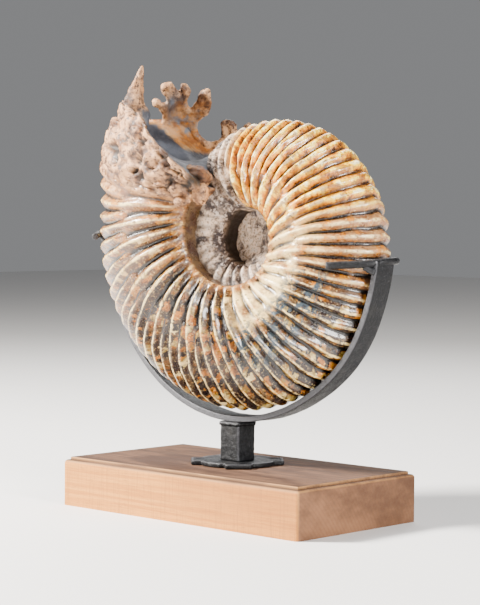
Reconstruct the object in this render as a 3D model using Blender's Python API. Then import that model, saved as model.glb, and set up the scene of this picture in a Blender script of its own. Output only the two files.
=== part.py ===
# A ribbed fossil ammonite held upright in an iron cradle on a wooden plinth.
# Origin: centre of the plinth's underside, +X along its length, -Y its front, +Z up.

import math

import bmesh
import bpy
import numpy as np
from mathutils import Vector

MM = 0.001
GAP = 0.3

# Plinth, in millimetres
PLINTH_LENGTH = 322.6
PLINTH_DEPTH = 174.0
PLINTH_BODY = 46.8
PLINTH_STEP = 3.0
PLINTH_STEP_INSET = 5.5
PLINTH_ROUND = 2.5

# Foot plate and post
POST_X = 2.5
POST_SIDE = 25.4
POST_EDGE = 1.2
PLATE_LOBE = 40.0
PLATE_EAR = 46.5
PLATE_NOTCH = 36.6
PLATE_NOTCH_FROM = 22.0
PLATE_NOTCH_TO = 26.0
PLATE_THICKNESS = 4.6
PLATE_EDGE = 1.2
PLATE_RIM = 3.4
PLATE_DISH = 1.0
PLATE_POINTS = 48

# Cradle bar, bent to an arc in the XZ plane
CRADLE_X = 6.5
CRADLE_Z = 279.4
CRADLE_OUTER = 186.0
BAR_WIDTH = 25.5
BAR_THICKNESS = 6.0
BAR_LEFT_ANGLE = 181.4
BAR_RIGHT_ANGLE = 351.8
BAR_BULGE = 2.4
BAR_BULGE_ANGLE = 322.0
BAR_BULGE_SPREAD = 16.0
BAR_POINTS = 49

# Fork rods at the two ends of the bar
ROD = 6.0
FORK_BEND = 6.0
RIGHT_FORK = (
    (155.0, -39.0, 255.0), (185.5, -15.0, 257.6), (191.5, 0.0, 257.6), (190.0, 17.0, 257.6),
    (158.0, 51.0, 255.6),
)
LEFT_FORK = (
    (-158.0, -44.0, 276.0), (-183.0, -17.0, 279.0), (-179.0, 0.0, 279.0), (-183.0, 17.0, 279.0),
    (-158.0, 46.0, 276.0),
)

# Shell: a logarithmic spiral that grows clockwise as seen from the front
COIL_X = 31.6
COIL_Y = 3.8
COIL_Z = 272.0
COIL_LEAN = -4.14
COIL_TURN = 2.73
RADIUS_LEFT = 197.3
GROWTH = 0.102
LONG_AXIS = 0.029

# Whorl section, as shares of the whorl's outer radius
SIDE_AT = 0.538
HALF_WIDTH = 0.383
ROUNDNESS = 1.576
SHOULDER_AT = 0.278
SHOULDER_HALF = 0.272
FLANK_CURVE = 2.9
SEAM_AT = 0.268
SEAM_HALF = 0.145

# Ribs
RIB_PITCH = 5.15
RIB_VENTER = 2.1
RIB_FLANK = 2.1
RIB_BEND = (-13.9, 40.6, -47.3)

# Angles along the coil, in degrees: 180 is left, 270 bottom, 360 right, 450 top
APERTURE = 135.0
OUTER_END = 484.0
BARE_STEP = 2.5
INNER_START = 470.0
INNER_END = 800.0
INNER_STEP = 12.0
INNER_SHRINK = 0.965

# Broken part: the angle from which the outer shell is gone, and how far it swells and lumps
BARE_FROM = 172.0
BARE_FULL = 150.0
BARE_SWELL = 0.17
BARE_LUMP = 3.2
WIDER_FROM = 255.0
WIDER = 0.085

# Concave wall that closes the broken end: degrees behind the rim, then its share of the section
SEPTUM = ((1.5, 0.93), (5.0, 0.84), (8.0, 0.55))
SEPTUM_MIDDLE = 10.0
SEAM_RIM = 141.0

# Plug that closes the innermost whorls
CORE_RADIUS = 52.0
CORE_DEPTH = 16.0

# Ragged rim of the broken end: side of the whorl (-1 front shoulder, 0 venter, 1 back
# shoulder) and the coil angle at which the wall is broken off there
RIM = (
    (-1.00, 141.0), (-0.92, 131.0), (-0.85, 134.7), (-0.72, 136.2), (-0.56, 135.5), (-0.45, 136.5),
    (-0.34, 138.0), (-0.16, 139.0), (-0.08, 141.0), (0.00, 143.5), (0.05, 142.0), (0.10, 138.0),
    (0.16, 135.5), (0.23, 136.0), (0.29, 139.5), (0.37, 142.1), (0.42, 141.0), (0.50, 133.5),
    (0.60, 130.0), (0.80, 132.0), (1.00, 135.0),
)

# Branched suture fingers on the back wall: each point is (coil angle, side), then the radius
FINGERS = (
    (((141.5, 0.10), (139.5, 0.05), (138.0, 0.01)), 3.9),
    (((140.5, 0.12), (138.0, 0.09), (135.5, 0.07), (132.9, 0.01)), 4.4),
    (((135.7, 0.07), (132.0, 0.05)), 4.3),
    (((138.8, 0.18), (136.0, 0.17), (133.6, 0.14), (131.3, 0.10)), 4.6),
    (((133.6, 0.14), (130.3, 0.13)), 4.2),
    (((139.5, 0.25), (136.9, 0.23), (133.9, 0.25), (130.6, 0.24), (127.8, 0.22)), 5.6),
    (((142.5, 0.44), (139.5, 0.44), (136.0, 0.42), (133.2, 0.39)), 6.0),
    (((136.0, 0.42), (131.8, 0.42)), 5.4),
    (((135.5, 0.52), (132.8, 0.49), (127.7, 0.48)), 4.2),
)

# Spike left of the front wall: centre line point and half width, in millimetres
SPIKE = (
    ((-108.0, -40.0, 384.0), 19.0), ((-105.0, -43.0, 400.0), 15.5), ((-102.2, -46.0, 414.0), 10.5),
    ((-99.2, -46.0, 425.0), 7.6), ((-95.2, -46.0, 435.0), 5.0), ((-92.0, -46.0, 444.0), 3.0),
    ((-90.2, -46.0, 449.0), 1.3),
)
SPIKE_SQUASH = 0.72
SPIKE_TURN = 43.0
SPIKE_SIDES = 10

# Knobs beside the umbilicus under the broken end: centre, then the half sizes
KNOBS = (
    ((-16.0, -60.0, 324.0), (10.0, 8.0, 6.5)),
    ((-15.0, -55.0, 314.0), (9.0, 8.0, 5.5)),
)
HOLLOW = (2.0, -68.0, 333.0)
HOLLOW_SIZE = (6.5, 16.0, 6.0)

# Rough slope that fills the right half of the umbilical pit
PIT_FILL = (56.0, -6.0, 268.0)
PIT_FILL_SIZE = (26.0, 18.0, 30.0)


def clear_scene():
    for item in list(bpy.data.objects):
        bpy.data.objects.remove(item, do_unlink=True)


def make_collection(name):
    group = bpy.data.collections.new(name)
    bpy.context.scene.collection.children.link(group)
    return group


def material(name, colour, roughness, metallic=0.0):
    made = bpy.data.materials.new(name)
    made.use_nodes = True
    shader = made.node_tree.nodes["Principled BSDF"]
    shader.inputs["Base Color"].default_value = (*colour, 1.0)
    shader.inputs["Roughness"].default_value = roughness
    shader.inputs["Metallic"].default_value = metallic
    return made


def object_from(name, bm, group, look=None):
    bmesh.ops.recalc_face_normals(bm, faces=bm.faces)
    mesh = bpy.data.meshes.new(name)
    bm.to_mesh(mesh)
    bm.free()
    item = bpy.data.objects.new(name, mesh)
    group.objects.link(item)
    if look is not None:
        mesh.materials.append(look)
    return item


def mesh_from_curve(item, name, group, look=None):
    """A closed mesh object in place of a curve object, its caps welded."""
    bpy.context.view_layer.update()
    evaluated = item.evaluated_get(bpy.context.evaluated_depsgraph_get())
    mesh = bpy.data.meshes.new_from_object(evaluated)
    bm = bmesh.new()
    bm.from_mesh(mesh)
    bmesh.ops.remove_doubles(bm, verts=bm.verts, dist=0.00002)
    bmesh.ops.recalc_face_normals(bm, faces=bm.faces)
    bm.to_mesh(mesh)
    bm.free()
    made = bpy.data.objects.new(name, mesh)
    made.matrix_world = item.matrix_world.copy()
    group.objects.link(made)
    bpy.data.objects.remove(item, do_unlink=True)
    mesh.materials.clear()
    if look is not None:
        mesh.materials.append(look)
    return made


def join_with(base, other, operation):
    cut = base.modifiers.new(other.name, "BOOLEAN")
    cut.object = other
    cut.operation = operation
    cut.solver = "EXACT"
    other.hide_render = True
    other.display_type = "WIRE"


# Shell geometry

def half_section():
    """Points (outward, sideways, share of the way) from the venter to the umbilical shoulder."""
    turn = np.linspace(0.0, math.pi / 2, 60)
    out = SIDE_AT + (1 - SIDE_AT) * np.cos(turn) ** (2 / ROUNDNESS)
    side = HALF_WIDTH * np.sin(turn) ** (2 / ROUNDNESS)
    inward = np.linspace(0.0, 1.0, 30)[1:]
    out = np.r_[out, SIDE_AT - (SIDE_AT - SHOULDER_AT) * inward]
    side = np.r_[side, HALF_WIDTH - (HALF_WIDTH - SHOULDER_HALF) * inward ** FLANK_CURVE]
    length = np.r_[0.0, np.cumsum(np.hypot(np.diff(out), np.diff(side)))]
    return out, side, length / length[-1]


OUT, SIDE, SHARE = half_section()


def smooth(value, low, high):
    t = min(max((value - low) / (high - low), 0.0), 1.0)
    return t * t * (3 - 2 * t)


def whorl_radius(angle):
    turn = math.radians(angle)
    return RADIUS_LEFT * math.exp(-GROWTH * (turn - math.pi)) * (1 + LONG_AXIS * math.cos(2 * turn))


def whorl_width(angle):
    return RADIUS_LEFT * math.exp(-GROWTH * (math.radians(angle) - math.pi))


def rib_phase(angle):
    """Number of ribs passed: the pitch widens towards the older, smaller whorl."""
    slow = GROWTH / 2
    return (1 - math.exp(-slow * math.radians(angle - 180))) / slow / math.radians(RIB_PITCH)


def angle_of_phase(phase):
    slow = GROWTH / 2
    return 180 - math.degrees(math.log(1 - phase * slow * math.radians(RIB_PITCH)) / slow)


def rib_height(angle, share):
    """Ribs run singly from the umbilical shoulder and double on the outer flank."""
    phase = rib_phase(angle) * math.pi
    outer = RIB_VENTER * math.cos(2 * phase)
    inner = RIB_FLANK * math.cos(phase)
    mix = smooth(share, 0.50, 0.75)
    fade = 1 - smooth(share, 0.93, 1.0)
    return (outer * (1 - mix) + inner * mix) * fade


def bareness(angle, side):
    """0 on the ribbed shell, 1 on the lumpy front near the broken end."""
    return (1 - smooth(angle, BARE_FULL, BARE_FROM)) * (1 - smooth(side, -0.12, 0.06))


def bare_lumps(angle, side):
    """Rounded lumps of the inner cast, in millimetres: two crossed waves and a finer one."""
    bent = math.sin(0.42 * angle + 5.0 * math.sin(7.0 * side))
    coarse = bent * math.cos(17.0 * side + 0.31 * angle)
    fine = math.sin(0.9 * angle + 31.0 * side)
    return BARE_LUMP * bareness(angle, side) * (coarse + 0.5 * fine)


def place(x, y, z):
    lean = math.radians(COIL_LEAN)
    turn = math.radians(COIL_TURN)
    y, z = y * math.cos(lean) - z * math.sin(lean), y * math.sin(lean) + z * math.cos(lean)
    x, y = x * math.cos(turn) - y * math.sin(turn), x * math.sin(turn) + y * math.cos(turn)
    return Vector(((x + COIL_X) * MM, (y + COIL_Y) * MM, (z + COIL_Z) * MM))


def shell_point(angle, side, shrink=1.0, ribs=True):
    """A point of the shell's surface; side runs from -1 (front shoulder) to 1 (back shoulder)."""
    share = abs(side)
    bent = angle + sum(c * share ** (i + 1) for i, c in enumerate(RIB_BEND))
    out = float(np.interp(share, SHARE, OUT))
    half = math.copysign(float(np.interp(share, SHARE, SIDE)), side)
    grown = (1 + BARE_SWELL * bareness(angle, side)) * shrink
    out = SIDE_AT + (out - SIDE_AT) * grown
    half *= grown * (1 + WIDER * (1 - smooth(angle, 160, WIDER_FROM)))
    radius = whorl_radius(bent)
    across = out * radius
    along = half * whorl_width(bent)
    if ribs:
        lift = rib_height(angle, share) * (1 - 0.8 * bareness(angle, side)) + bare_lumps(angle, side)
        centre = SIDE_AT * 0.8
        reach = math.hypot(out - centre, half)
        across += lift * (out - centre) / reach
        along += lift * half / reach
    turn = math.radians(bent)
    return place(across * math.cos(turn), along, across * math.sin(turn))


def seam_point(angle, sign):
    bent = angle + sum(RIB_BEND)
    turn = math.radians(bent)
    across = SEAM_AT * whorl_radius(bent)
    return place(across * math.cos(turn), sign * SEAM_HALF * whorl_width(bent), across * math.sin(turn))


FRONT_SIDES = (1.0, 0.9, 0.8, 0.68, 0.56, 0.44, 0.34, 0.25, 0.16, 0.08)
BACK_SIDES = (0.0, 0.07, 0.14, 0.22, 0.30, 0.38, 0.48, 0.64, 0.82, 1.0)
SIDES = [-s for s in FRONT_SIDES] + list(BACK_SIDES)


def ring_points(angle, rim_share=0.0, shrink=1.0, ribs=True):
    """One ring around the whorl, its coil angle drawn to the ragged rim by rim_share."""
    points = []
    rim_sides = [side for side, broken_at in RIM]
    rim_angles = [broken_at for side, broken_at in RIM]
    for side in SIDES:
        broken_at = float(np.interp(side, rim_sides, rim_angles))
        points.append(shell_point(angle + rim_share * (broken_at - APERTURE), side, shrink, ribs))
    drawn = angle + rim_share * (SEAM_RIM - APERTURE)
    middle = place_middle(drawn)
    points.append(middle.lerp(seam_point(drawn, 1), shrink))
    points.insert(0, middle.lerp(seam_point(drawn, -1), shrink))
    return points


def place_middle(angle):
    turn = math.radians(angle)
    across = SIDE_AT * whorl_radius(angle)
    return place(across * math.cos(turn), 0.0, across * math.sin(turn))


def loft(name, rings, group, look=None, last_tip=None):
    """Closed body through rings of points, each end closed by a fan to its middle or to last_tip."""
    bm = bmesh.new()
    rows = [[bm.verts.new(p) for p in ring] for ring in rings]
    count = len(rows[0])
    for first, second in zip(rows, rows[1:]):
        for i in range(count):
            j = (i + 1) % count
            bm.faces.new((first[i], first[j], second[j], second[i]))
    for row, tip in ((rows[0], None), (rows[-1], last_tip)):
        middle = sum((v.co for v in row), Vector()) / count
        centre = bm.verts.new(tip or middle)
        for i in range(count):
            bm.faces.new((row[i], row[(i + 1) % count], centre))
    bmesh.ops.triangulate(bm, faces=[f for f in bm.faces if len(f.verts) > 3])
    return object_from(name, bm, group, look)


def ring_angles(start, end):
    """Coil angles at every crest and groove between two angles."""
    first = math.ceil(rib_phase(start) * 2)
    last = math.floor(rib_phase(end) * 2)
    return [angle_of_phase(k / 2) for k in range(first, last + 1)]


def outer_whorl(group, look):
    """The visible whorl, from where it comes out under the broken end to its ragged rim."""
    rings = [ring_points(angle) for angle in reversed(ring_angles(BARE_FROM, OUTER_END))]
    angle = BARE_FROM - BARE_STEP
    while angle > APERTURE:
        rings.append(ring_points(angle, rim_share=smooth(-angle, -152, -138)))
        angle -= BARE_STEP
    rings.append(ring_points(APERTURE, rim_share=1.0))
    for depth, shrink in SEPTUM:
        rings.append(ring_points(APERTURE + depth, 1.0 - depth / 12, shrink, ribs=False))
    return loft("ammonite", rings, group, look, place_middle(APERTURE + SEPTUM_MIDDLE))


def inner_whorls(group):
    """The older whorls that show in the umbilicus and behind the broken end."""
    angles = np.arange(INNER_START, INNER_END, INNER_STEP)
    return loft("inner_whorls", [ring_points(a, shrink=INNER_SHRINK) for a in angles], group)


def umbilicus_core(group):
    """Flat plug that closes the innermost whorls, the floor of the pit on both sides."""
    bm = bmesh.new()
    radius = CORE_RADIUS * MM
    depth = CORE_DEPTH * MM
    bmesh.ops.create_cone(bm, cap_ends=True, segments=24, radius1=radius, radius2=radius, depth=depth)
    item = object_from("umbilicus_core", bm, group)
    item.rotation_euler = (math.radians(90 + COIL_LEAN), 0.0, math.radians(COIL_TURN))
    item.location = place(0.0, 0.0, 0.0)
    return item


def suture_finger(number, line, radius, group):
    curve = bpy.data.curves.new("finger", "CURVE")
    curve.dimensions = "3D"
    curve.bevel_depth = radius * MM
    curve.bevel_resolution = 1
    curve.use_fill_caps = True
    spline = curve.splines.new("POLY")
    spline.points.add(len(line) - 1)
    for i, (angle, side) in enumerate(line):
        spline.points[i].co = (*shell_point(angle, side, 0.985, ribs=False), 1.0)
        spline.points[i].radius = 1.25 if i == 0 else (1.0 if i < len(line) - 1 else 0.85)
    item = bpy.data.objects.new("finger_curve", curve)
    group.objects.link(item)
    return mesh_from_curve(item, f"finger_{number}", group)


def spike(group):
    facing = math.radians(SPIKE_TURN)
    across = Vector((math.cos(facing), math.sin(facing), 0.0))
    away = Vector((-across.y, across.x, 0.0))
    rings = []
    for number, (middle, half) in enumerate(SPIKE):
        ring = []
        for k in range(SPIKE_SIDES):
            turn = k * math.tau / SPIKE_SIDES
            lump = 1 + 0.08 * math.sin(3 * turn + 2.1 * number)
            step = across * math.cos(turn) + away * math.sin(turn) * SPIKE_SQUASH
            ring.append((Vector(middle) + step * half * lump) * MM)
        rings.append(ring)
    return loft("spike", rings, group)


def lump(name, middle, half_sizes, group):
    bm = bmesh.new()
    bmesh.ops.create_uvsphere(bm, u_segments=10, v_segments=6, radius=1.0)
    bmesh.ops.scale(bm, vec=Vector(half_sizes) * MM, verts=bm.verts)
    bmesh.ops.translate(bm, vec=Vector(middle) * MM, verts=bm.verts)
    return object_from(name, bm, group)


def build_ammonite(parts, helpers, look):
    shell = outer_whorl(parts, look)
    join_with(shell, inner_whorls(helpers), "UNION")
    join_with(shell, umbilicus_core(helpers), "UNION")
    join_with(shell, lump("pit_fill", PIT_FILL, PIT_FILL_SIZE, helpers), "UNION")
    join_with(shell, spike(helpers), "UNION")
    for number, (line, radius) in enumerate(FINGERS):
        join_with(shell, suture_finger(number, line, radius, helpers), "UNION")
    for number, (middle, sizes) in enumerate(KNOBS):
        join_with(shell, lump(f"knob_{number}", middle, sizes, helpers), "UNION")
    join_with(shell, lump("hollow", HOLLOW, HOLLOW_SIZE, helpers), "DIFFERENCE")
    return shell


# Stand

def build_plinth(parts, look):
    """One block with a shallow raised step on top, its long edges eased."""
    bm = bmesh.new()
    bmesh.ops.create_cube(bm, size=1.0)
    size = Vector((PLINTH_LENGTH, PLINTH_DEPTH, PLINTH_BODY)) * MM
    bmesh.ops.scale(bm, vec=size, verts=bm.verts)
    bmesh.ops.translate(bm, vec=(0, 0, PLINTH_BODY / 2 * MM), verts=bm.verts)
    eased = [e for e in bm.edges if max(v.co.z for v in e.verts) > 0.001]
    bmesh.ops.bevel(bm, geom=eased, offset=PLINTH_ROUND * MM, segments=3, profile=0.5, affect="EDGES")
    bm.normal_update()
    top = max(bm.faces, key=lambda f: f.calc_center_median().z)
    inset = (PLINTH_STEP_INSET - PLINTH_ROUND) * MM
    bmesh.ops.inset_region(bm, faces=[top], thickness=inset)
    raised = bmesh.ops.extrude_face_region(bm, geom=[top])
    moved = [v for v in raised["geom"] if isinstance(v, bmesh.types.BMVert)]
    bmesh.ops.translate(bm, vec=(0, 0, PLINTH_STEP * MM), verts=moved)
    bmesh.ops.delete(bm, geom=[top], context="FACES")
    return object_from("plinth", bm, parts, look)


def plate_radius(angle):
    """Quatrefoil outline: round lobes on the axes, flat ears between them, notches where they meet."""
    off_axis = abs((angle + 45) % 90 - 45)
    if off_axis < PLATE_NOTCH_FROM:
        return PLATE_LOBE
    if off_axis < PLATE_NOTCH_TO:
        return PLATE_NOTCH
    return PLATE_EAR / math.cos(math.radians(45 - off_axis))


def build_foot_plate(parts, look):
    base = PLINTH_BODY + PLINTH_STEP + GAP
    bm = bmesh.new()
    loops = []
    upper = PLATE_THICKNESS - PLATE_EDGE
    profile = ((0.0, 0.8), (PLATE_EDGE, 0.0), (upper, 0.0), (PLATE_THICKNESS, PLATE_EDGE))
    for height, inward in profile:
        loop = []
        for k in range(PLATE_POINTS):
            angle = 360.0 / PLATE_POINTS * k
            radius = plate_radius(angle) - inward
            turn = math.radians(angle)
            point = Vector((radius * math.cos(turn), radius * math.sin(turn), height))
            loop.append(bm.verts.new(point * MM))
        loops.append(loop)
    for below, above in zip(loops, loops[1:]):
        for k in range(PLATE_POINTS):
            n = (k + 1) % PLATE_POINTS
            bm.faces.new((below[k], below[n], above[n], above[k]))
    bm.faces.new(list(reversed(loops[0])))
    top = bm.faces.new(loops[-1])
    bm.normal_update()
    bmesh.ops.inset_region(bm, faces=[top], thickness=PLATE_RIM * MM, depth=-PLATE_DISH * MM)
    item = object_from("foot_plate", bm, parts, look)
    item.location = (POST_X * MM, 0.0, base * MM)
    return item


def build_post(parts, look):
    base = PLINTH_BODY + PLINTH_STEP + GAP + PLATE_THICKNESS - PLATE_DISH + GAP
    top = CRADLE_Z - CRADLE_OUTER - GAP
    bm = bmesh.new()
    bmesh.ops.create_cube(bm, size=1.0)
    bmesh.ops.scale(bm, vec=Vector((POST_SIDE, POST_SIDE, top - base)) * MM, verts=bm.verts)
    upright = [e for e in bm.edges if abs(e.verts[0].co.z - e.verts[1].co.z) > 0.001]
    bmesh.ops.bevel(bm, geom=upright, offset=POST_EDGE * MM, segments=2, profile=0.5, affect="EDGES")
    item = object_from("post", bm, parts, look)
    item.location = (POST_X * MM, 0.0, (base + top) / 2 * MM)
    return item


def bar_radius(angle):
    """The bar's outer radius, a little fuller on the lower right where it was bent by hand."""
    away = (angle - BAR_BULGE_ANGLE) / BAR_BULGE_SPREAD
    return CRADLE_OUTER + BAR_BULGE * math.exp(-away * away)


def build_cradle_bar(parts, look):
    """Arc outline in the XZ plane, extruded to the bar's width."""
    curve = bpy.data.curves.new("cradle_bar", "CURVE")
    curve.dimensions = "2D"
    curve.fill_mode = "BOTH"
    curve.extrude = BAR_WIDTH / 2 * MM
    angles = np.linspace(BAR_LEFT_ANGLE, BAR_RIGHT_ANGLE, BAR_POINTS)
    outline = [(bar_radius(a), a) for a in angles]
    outline += [(bar_radius(a) - BAR_THICKNESS, a) for a in reversed(angles)]
    spline = curve.splines.new("POLY")
    spline.points.add(len(outline) - 1)
    for point, (radius, angle) in zip(spline.points, outline):
        turn = math.radians(angle)
        point.co = (radius * math.cos(turn) * MM, radius * math.sin(turn) * MM, 0.0, 1.0)
    spline.use_cyclic_u = True
    item = bpy.data.objects.new("bar_outline", curve)
    item.rotation_euler = (math.radians(90), 0.0, 0.0)
    item.location = (CRADLE_X * MM, 0.0, CRADLE_Z * MM)
    parts.objects.link(item)
    return mesh_from_curve(item, "cradle_bar", parts, look)


def build_fork(name, line, parts, look):
    curve = bpy.data.curves.new(name, "CURVE")
    curve.dimensions = "3D"
    curve.bevel_depth = ROD / 2 * MM
    curve.bevel_resolution = 2
    curve.use_fill_caps = True
    spline = curve.splines.new("POLY")
    spline.points.add(len(line) - 1)
    for point, place_at in zip(spline.points, line):
        point.co = (*(Vector(place_at) * MM), 1.0)
    item = bpy.data.objects.new("rod", curve)
    parts.objects.link(item)
    rod = mesh_from_curve(item, name, parts, look)
    rod.data.shade_smooth()
    return rod


def rounded_path(corners, radius, steps=3):
    """The corner points with each inner corner replaced by a short arc."""
    points = [Vector(corners[0])]
    for before, corner, after in zip(corners, corners[1:], corners[2:]):
        corner = Vector(corner)
        start = corner + (Vector(before) - corner).normalized() * radius
        end = corner + (Vector(after) - corner).normalized() * radius
        for k in range(steps + 1):
            t = k / steps
            points.append(start.lerp(corner, t).lerp(corner.lerp(end, t), t))
    points.append(Vector(corners[-1]))
    return [tuple(p) for p in points]


def main():
    clear_scene()
    parts = make_collection("ammonite_on_cradle_stand")
    helpers = make_collection("joined_shapes")
    fossil = material("fossil", (0.55, 0.38, 0.24), 0.45)
    iron = material("blackened_iron", (0.035, 0.036, 0.04), 0.6, 0.7)
    wood = material("oiled_wood", (0.45, 0.30, 0.19), 0.6)

    build_plinth(parts, wood)
    build_foot_plate(parts, iron)
    build_post(parts, iron)
    build_cradle_bar(parts, iron)
    build_fork("right_fork", rounded_path(RIGHT_FORK, FORK_BEND), parts, iron)
    build_fork("left_fork", rounded_path(LEFT_FORK, FORK_BEND), parts, iron)
    shell = build_ammonite(parts, helpers, fossil)
    shell.data.shade_smooth()


main()
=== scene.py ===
# A ribbed fossil ammonite held in a forged iron cradle on a wooden plinth.
import math
import bmesh
import bpy
import numpy as np
from mathutils import Matrix, Vector, kdtree, noise


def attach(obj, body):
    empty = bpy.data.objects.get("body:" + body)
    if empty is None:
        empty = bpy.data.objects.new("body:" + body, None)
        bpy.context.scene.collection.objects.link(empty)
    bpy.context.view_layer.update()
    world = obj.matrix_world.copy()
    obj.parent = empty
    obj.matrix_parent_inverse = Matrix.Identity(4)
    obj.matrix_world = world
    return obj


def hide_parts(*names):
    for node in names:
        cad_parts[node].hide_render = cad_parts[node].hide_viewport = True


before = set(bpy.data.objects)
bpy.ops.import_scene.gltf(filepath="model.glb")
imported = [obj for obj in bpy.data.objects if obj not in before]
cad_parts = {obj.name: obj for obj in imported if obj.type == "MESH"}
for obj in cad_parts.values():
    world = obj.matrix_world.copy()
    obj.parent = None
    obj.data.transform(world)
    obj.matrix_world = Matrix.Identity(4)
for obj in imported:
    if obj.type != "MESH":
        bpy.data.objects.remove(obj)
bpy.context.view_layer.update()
mm = 0.001
print("stage: frame loaded")

# the photograph's view, worked out from the plinth's edges
view = {
    "position": (1.36156, -1.44342, 0.30380),
    "right": (0.72827, 0.68524, 0.00764),
    "up": (-0.03733, 0.02855, 0.99889),
    "forward": (-0.68427, 0.72775, -0.04637),
    "focalPixels": 1986.4,
    "pictureSize": (480, 605),
}


def makeCamera():
    data = bpy.data.cameras.new("camera")
    data.sensor_width = 36.0
    data.lens = view["focalPixels"] * data.sensor_width / max(view["pictureSize"])
    data.clip_end = 50.0
    camera = bpy.data.objects.new("camera", data)
    bpy.context.scene.collection.objects.link(camera)
    axes = [Vector(view["right"]).normalized(), Vector(view["up"]).normalized()]
    axes.append(-Vector(view["forward"]).normalized())
    turned = Matrix(axes).transposed().to_4x4()
    camera.matrix_world = Matrix.Translation(view["position"]) @ turned
    bpy.context.scene.camera = camera


makeCamera()


def pixelOf(points):
    offset = points - np.array(view["position"])
    depth = offset @ np.array(view["forward"])
    x = view["pictureSize"][0] / 2 + view["focalPixels"] * (offset @ np.array(view["right"])) / depth
    y = view["pictureSize"][1] / 2 - view["focalPixels"] * (offset @ np.array(view["up"])) / depth
    return x, y


def spot(x, y, middleX, middleY, wide, high):
    return np.exp(-(((x - middleX) / wide) ** 2 + ((y - middleY) / high) ** 2))


# shaping helpers
def deselect():
    if bpy.context.mode != "OBJECT":
        bpy.ops.object.mode_set(mode="OBJECT")
    bpy.ops.object.select_all(action="DESELECT")


def pick(item):
    deselect()
    item.select_set(True)
    bpy.context.view_layer.objects.active = item
    return item


def applyModifiers(item):
    pick(item)
    for modifier in list(item.modifiers):
        bpy.ops.object.modifier_apply(modifier=modifier.name)
    return item


def tidyMesh(item, distance=0.00002):
    pick(item)
    bpy.ops.object.mode_set(mode="EDIT")
    bpy.ops.mesh.select_all(action="SELECT")
    bpy.ops.mesh.remove_doubles(threshold=distance)
    bpy.ops.mesh.normals_make_consistent(inside=False)
    bpy.ops.object.mode_set(mode="OBJECT")
    return item


def smooth(value, low, high):
    t = np.clip((value - low) / (high - low), 0.0, 1.0)
    return t * t * (3 - 2 * t)


def band(value, low, high, soft):
    return smooth(value, low - soft, low + soft) * (1 - smooth(value, high - soft, high + soft))


def noiseAt(points, size, seed=0.0):
    shift = Vector((seed * 17.3, seed * 5.1, seed * 9.7))
    return np.array([noise.noise(Vector(p) / size + shift) for p in points])


def cellsAt(points, size, seed=0.0):
    shift = Vector((seed * 11.3, seed * 7.1, seed * 3.7))
    found = [noise.voronoi(Vector(p) / size + shift)[0] for p in points]
    return np.array([min((d[1] - d[0]) * 1.6, 1.0) for d in found])


def addMask(item, name, values):
    layer = item.data.attributes.new(name, "FLOAT", "POINT")
    layer.data.foreach_set("value", np.ascontiguousarray(values, dtype=np.float32))


maskNames = ("rib", "gold", "dark", "pale", "blue", "bare", "septum", "pit", "olive", "cavity", "amber")


def paint(item, coil, **masks):
    count = len(item.data.vertices)
    for name in maskNames:
        addMask(item, name, np.broadcast_to(masks.get(name, 0.0), (count,)))
    layer = item.data.attributes.new("coil", "FLOAT_VECTOR", "POINT")
    layer.data.foreach_set("vector", np.ascontiguousarray(coil, dtype=np.float32).ravel())


def plainCoil(points):
    return np.stack([points[:, 0] * 0.2, np.full(len(points), 14.0), points[:, 2] * 0.2], axis=1)


def coordinates(item):
    found = np.empty(len(item.data.vertices) * 3)
    item.data.vertices.foreach_get("co", found)
    return found.reshape(-1, 3)


def setCoordinates(item, points):
    item.data.vertices.foreach_set("co", np.ascontiguousarray(points).ravel())
    item.data.update()


def normalsOf(item):
    found = np.empty(len(item.data.vertices) * 3)
    item.data.vertices.foreach_get("normal", found)
    return found.reshape(-1, 3)


def joined(items):
    deselect()
    for item in items:
        item.select_set(True)
    bpy.context.view_layer.objects.active = items[0]
    bpy.ops.object.join()
    return items[0]


# the fossil's form, in millimetres and in shares of the whorl's outer radius
shell = {
    "centre": (31.6, 3.8, 272.0),
    "lean": -4.14,
    "turn": 2.73,
    "radius": 197.3,
    "growth": 0.102,
    "longAxis": 0.029,
    "sideAt": 0.538,
    "halfWidth": 0.383,
    "roundness": 1.576,
    "shoulderAt": 0.278,
    "shoulderHalf": 0.272,
    "flankCurve": 2.9,
    "seamAt": 0.268,
    "seamHalf": 0.145,
    "ribPitch": 5.15,
    "ribHeight": 2.9,
    "ribBend": (-13.9, 40.6, -47.3),
    "aperture": 135.0,
    "outerEnd": 486.0,
    "seamRim": 141.0,
    "bareFrom": 172.0,
    "bareFull": 150.0,
    "bareSwell": 0.17,
    "widerFrom": 255.0,
    "wider": 0.085,
    "septum": ((0.0, 1.0), (0.5, 0.965), (1.5, 0.93), (5.0, 0.84), (8.0, 0.55), (10.0, 0.0)),
}

# ragged rim of the broken end: side of the whorl, and the coil angle where it is broken off
rim = (
    (-1.00, 134.0), (-0.95, 128.0), (-0.90, 126.0), (-0.81, 127.0), (-0.72, 128.2), (-0.60, 128.2),
    (-0.54, 129.0), (-0.48, 132.0), (-0.41, 134.5), (-0.30, 138.5), (-0.16, 140.5), (-0.08, 142.0),
    (0.00, 144.5), (0.05, 144.0), (0.10, 142.5), (0.16, 141.0), (0.23, 141.5), (0.29, 143.5),
    (0.37, 144.5), (0.42, 142.0), (0.50, 136.0), (0.60, 130.0), (0.80, 132.0), (1.00, 135.0),
)


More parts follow.
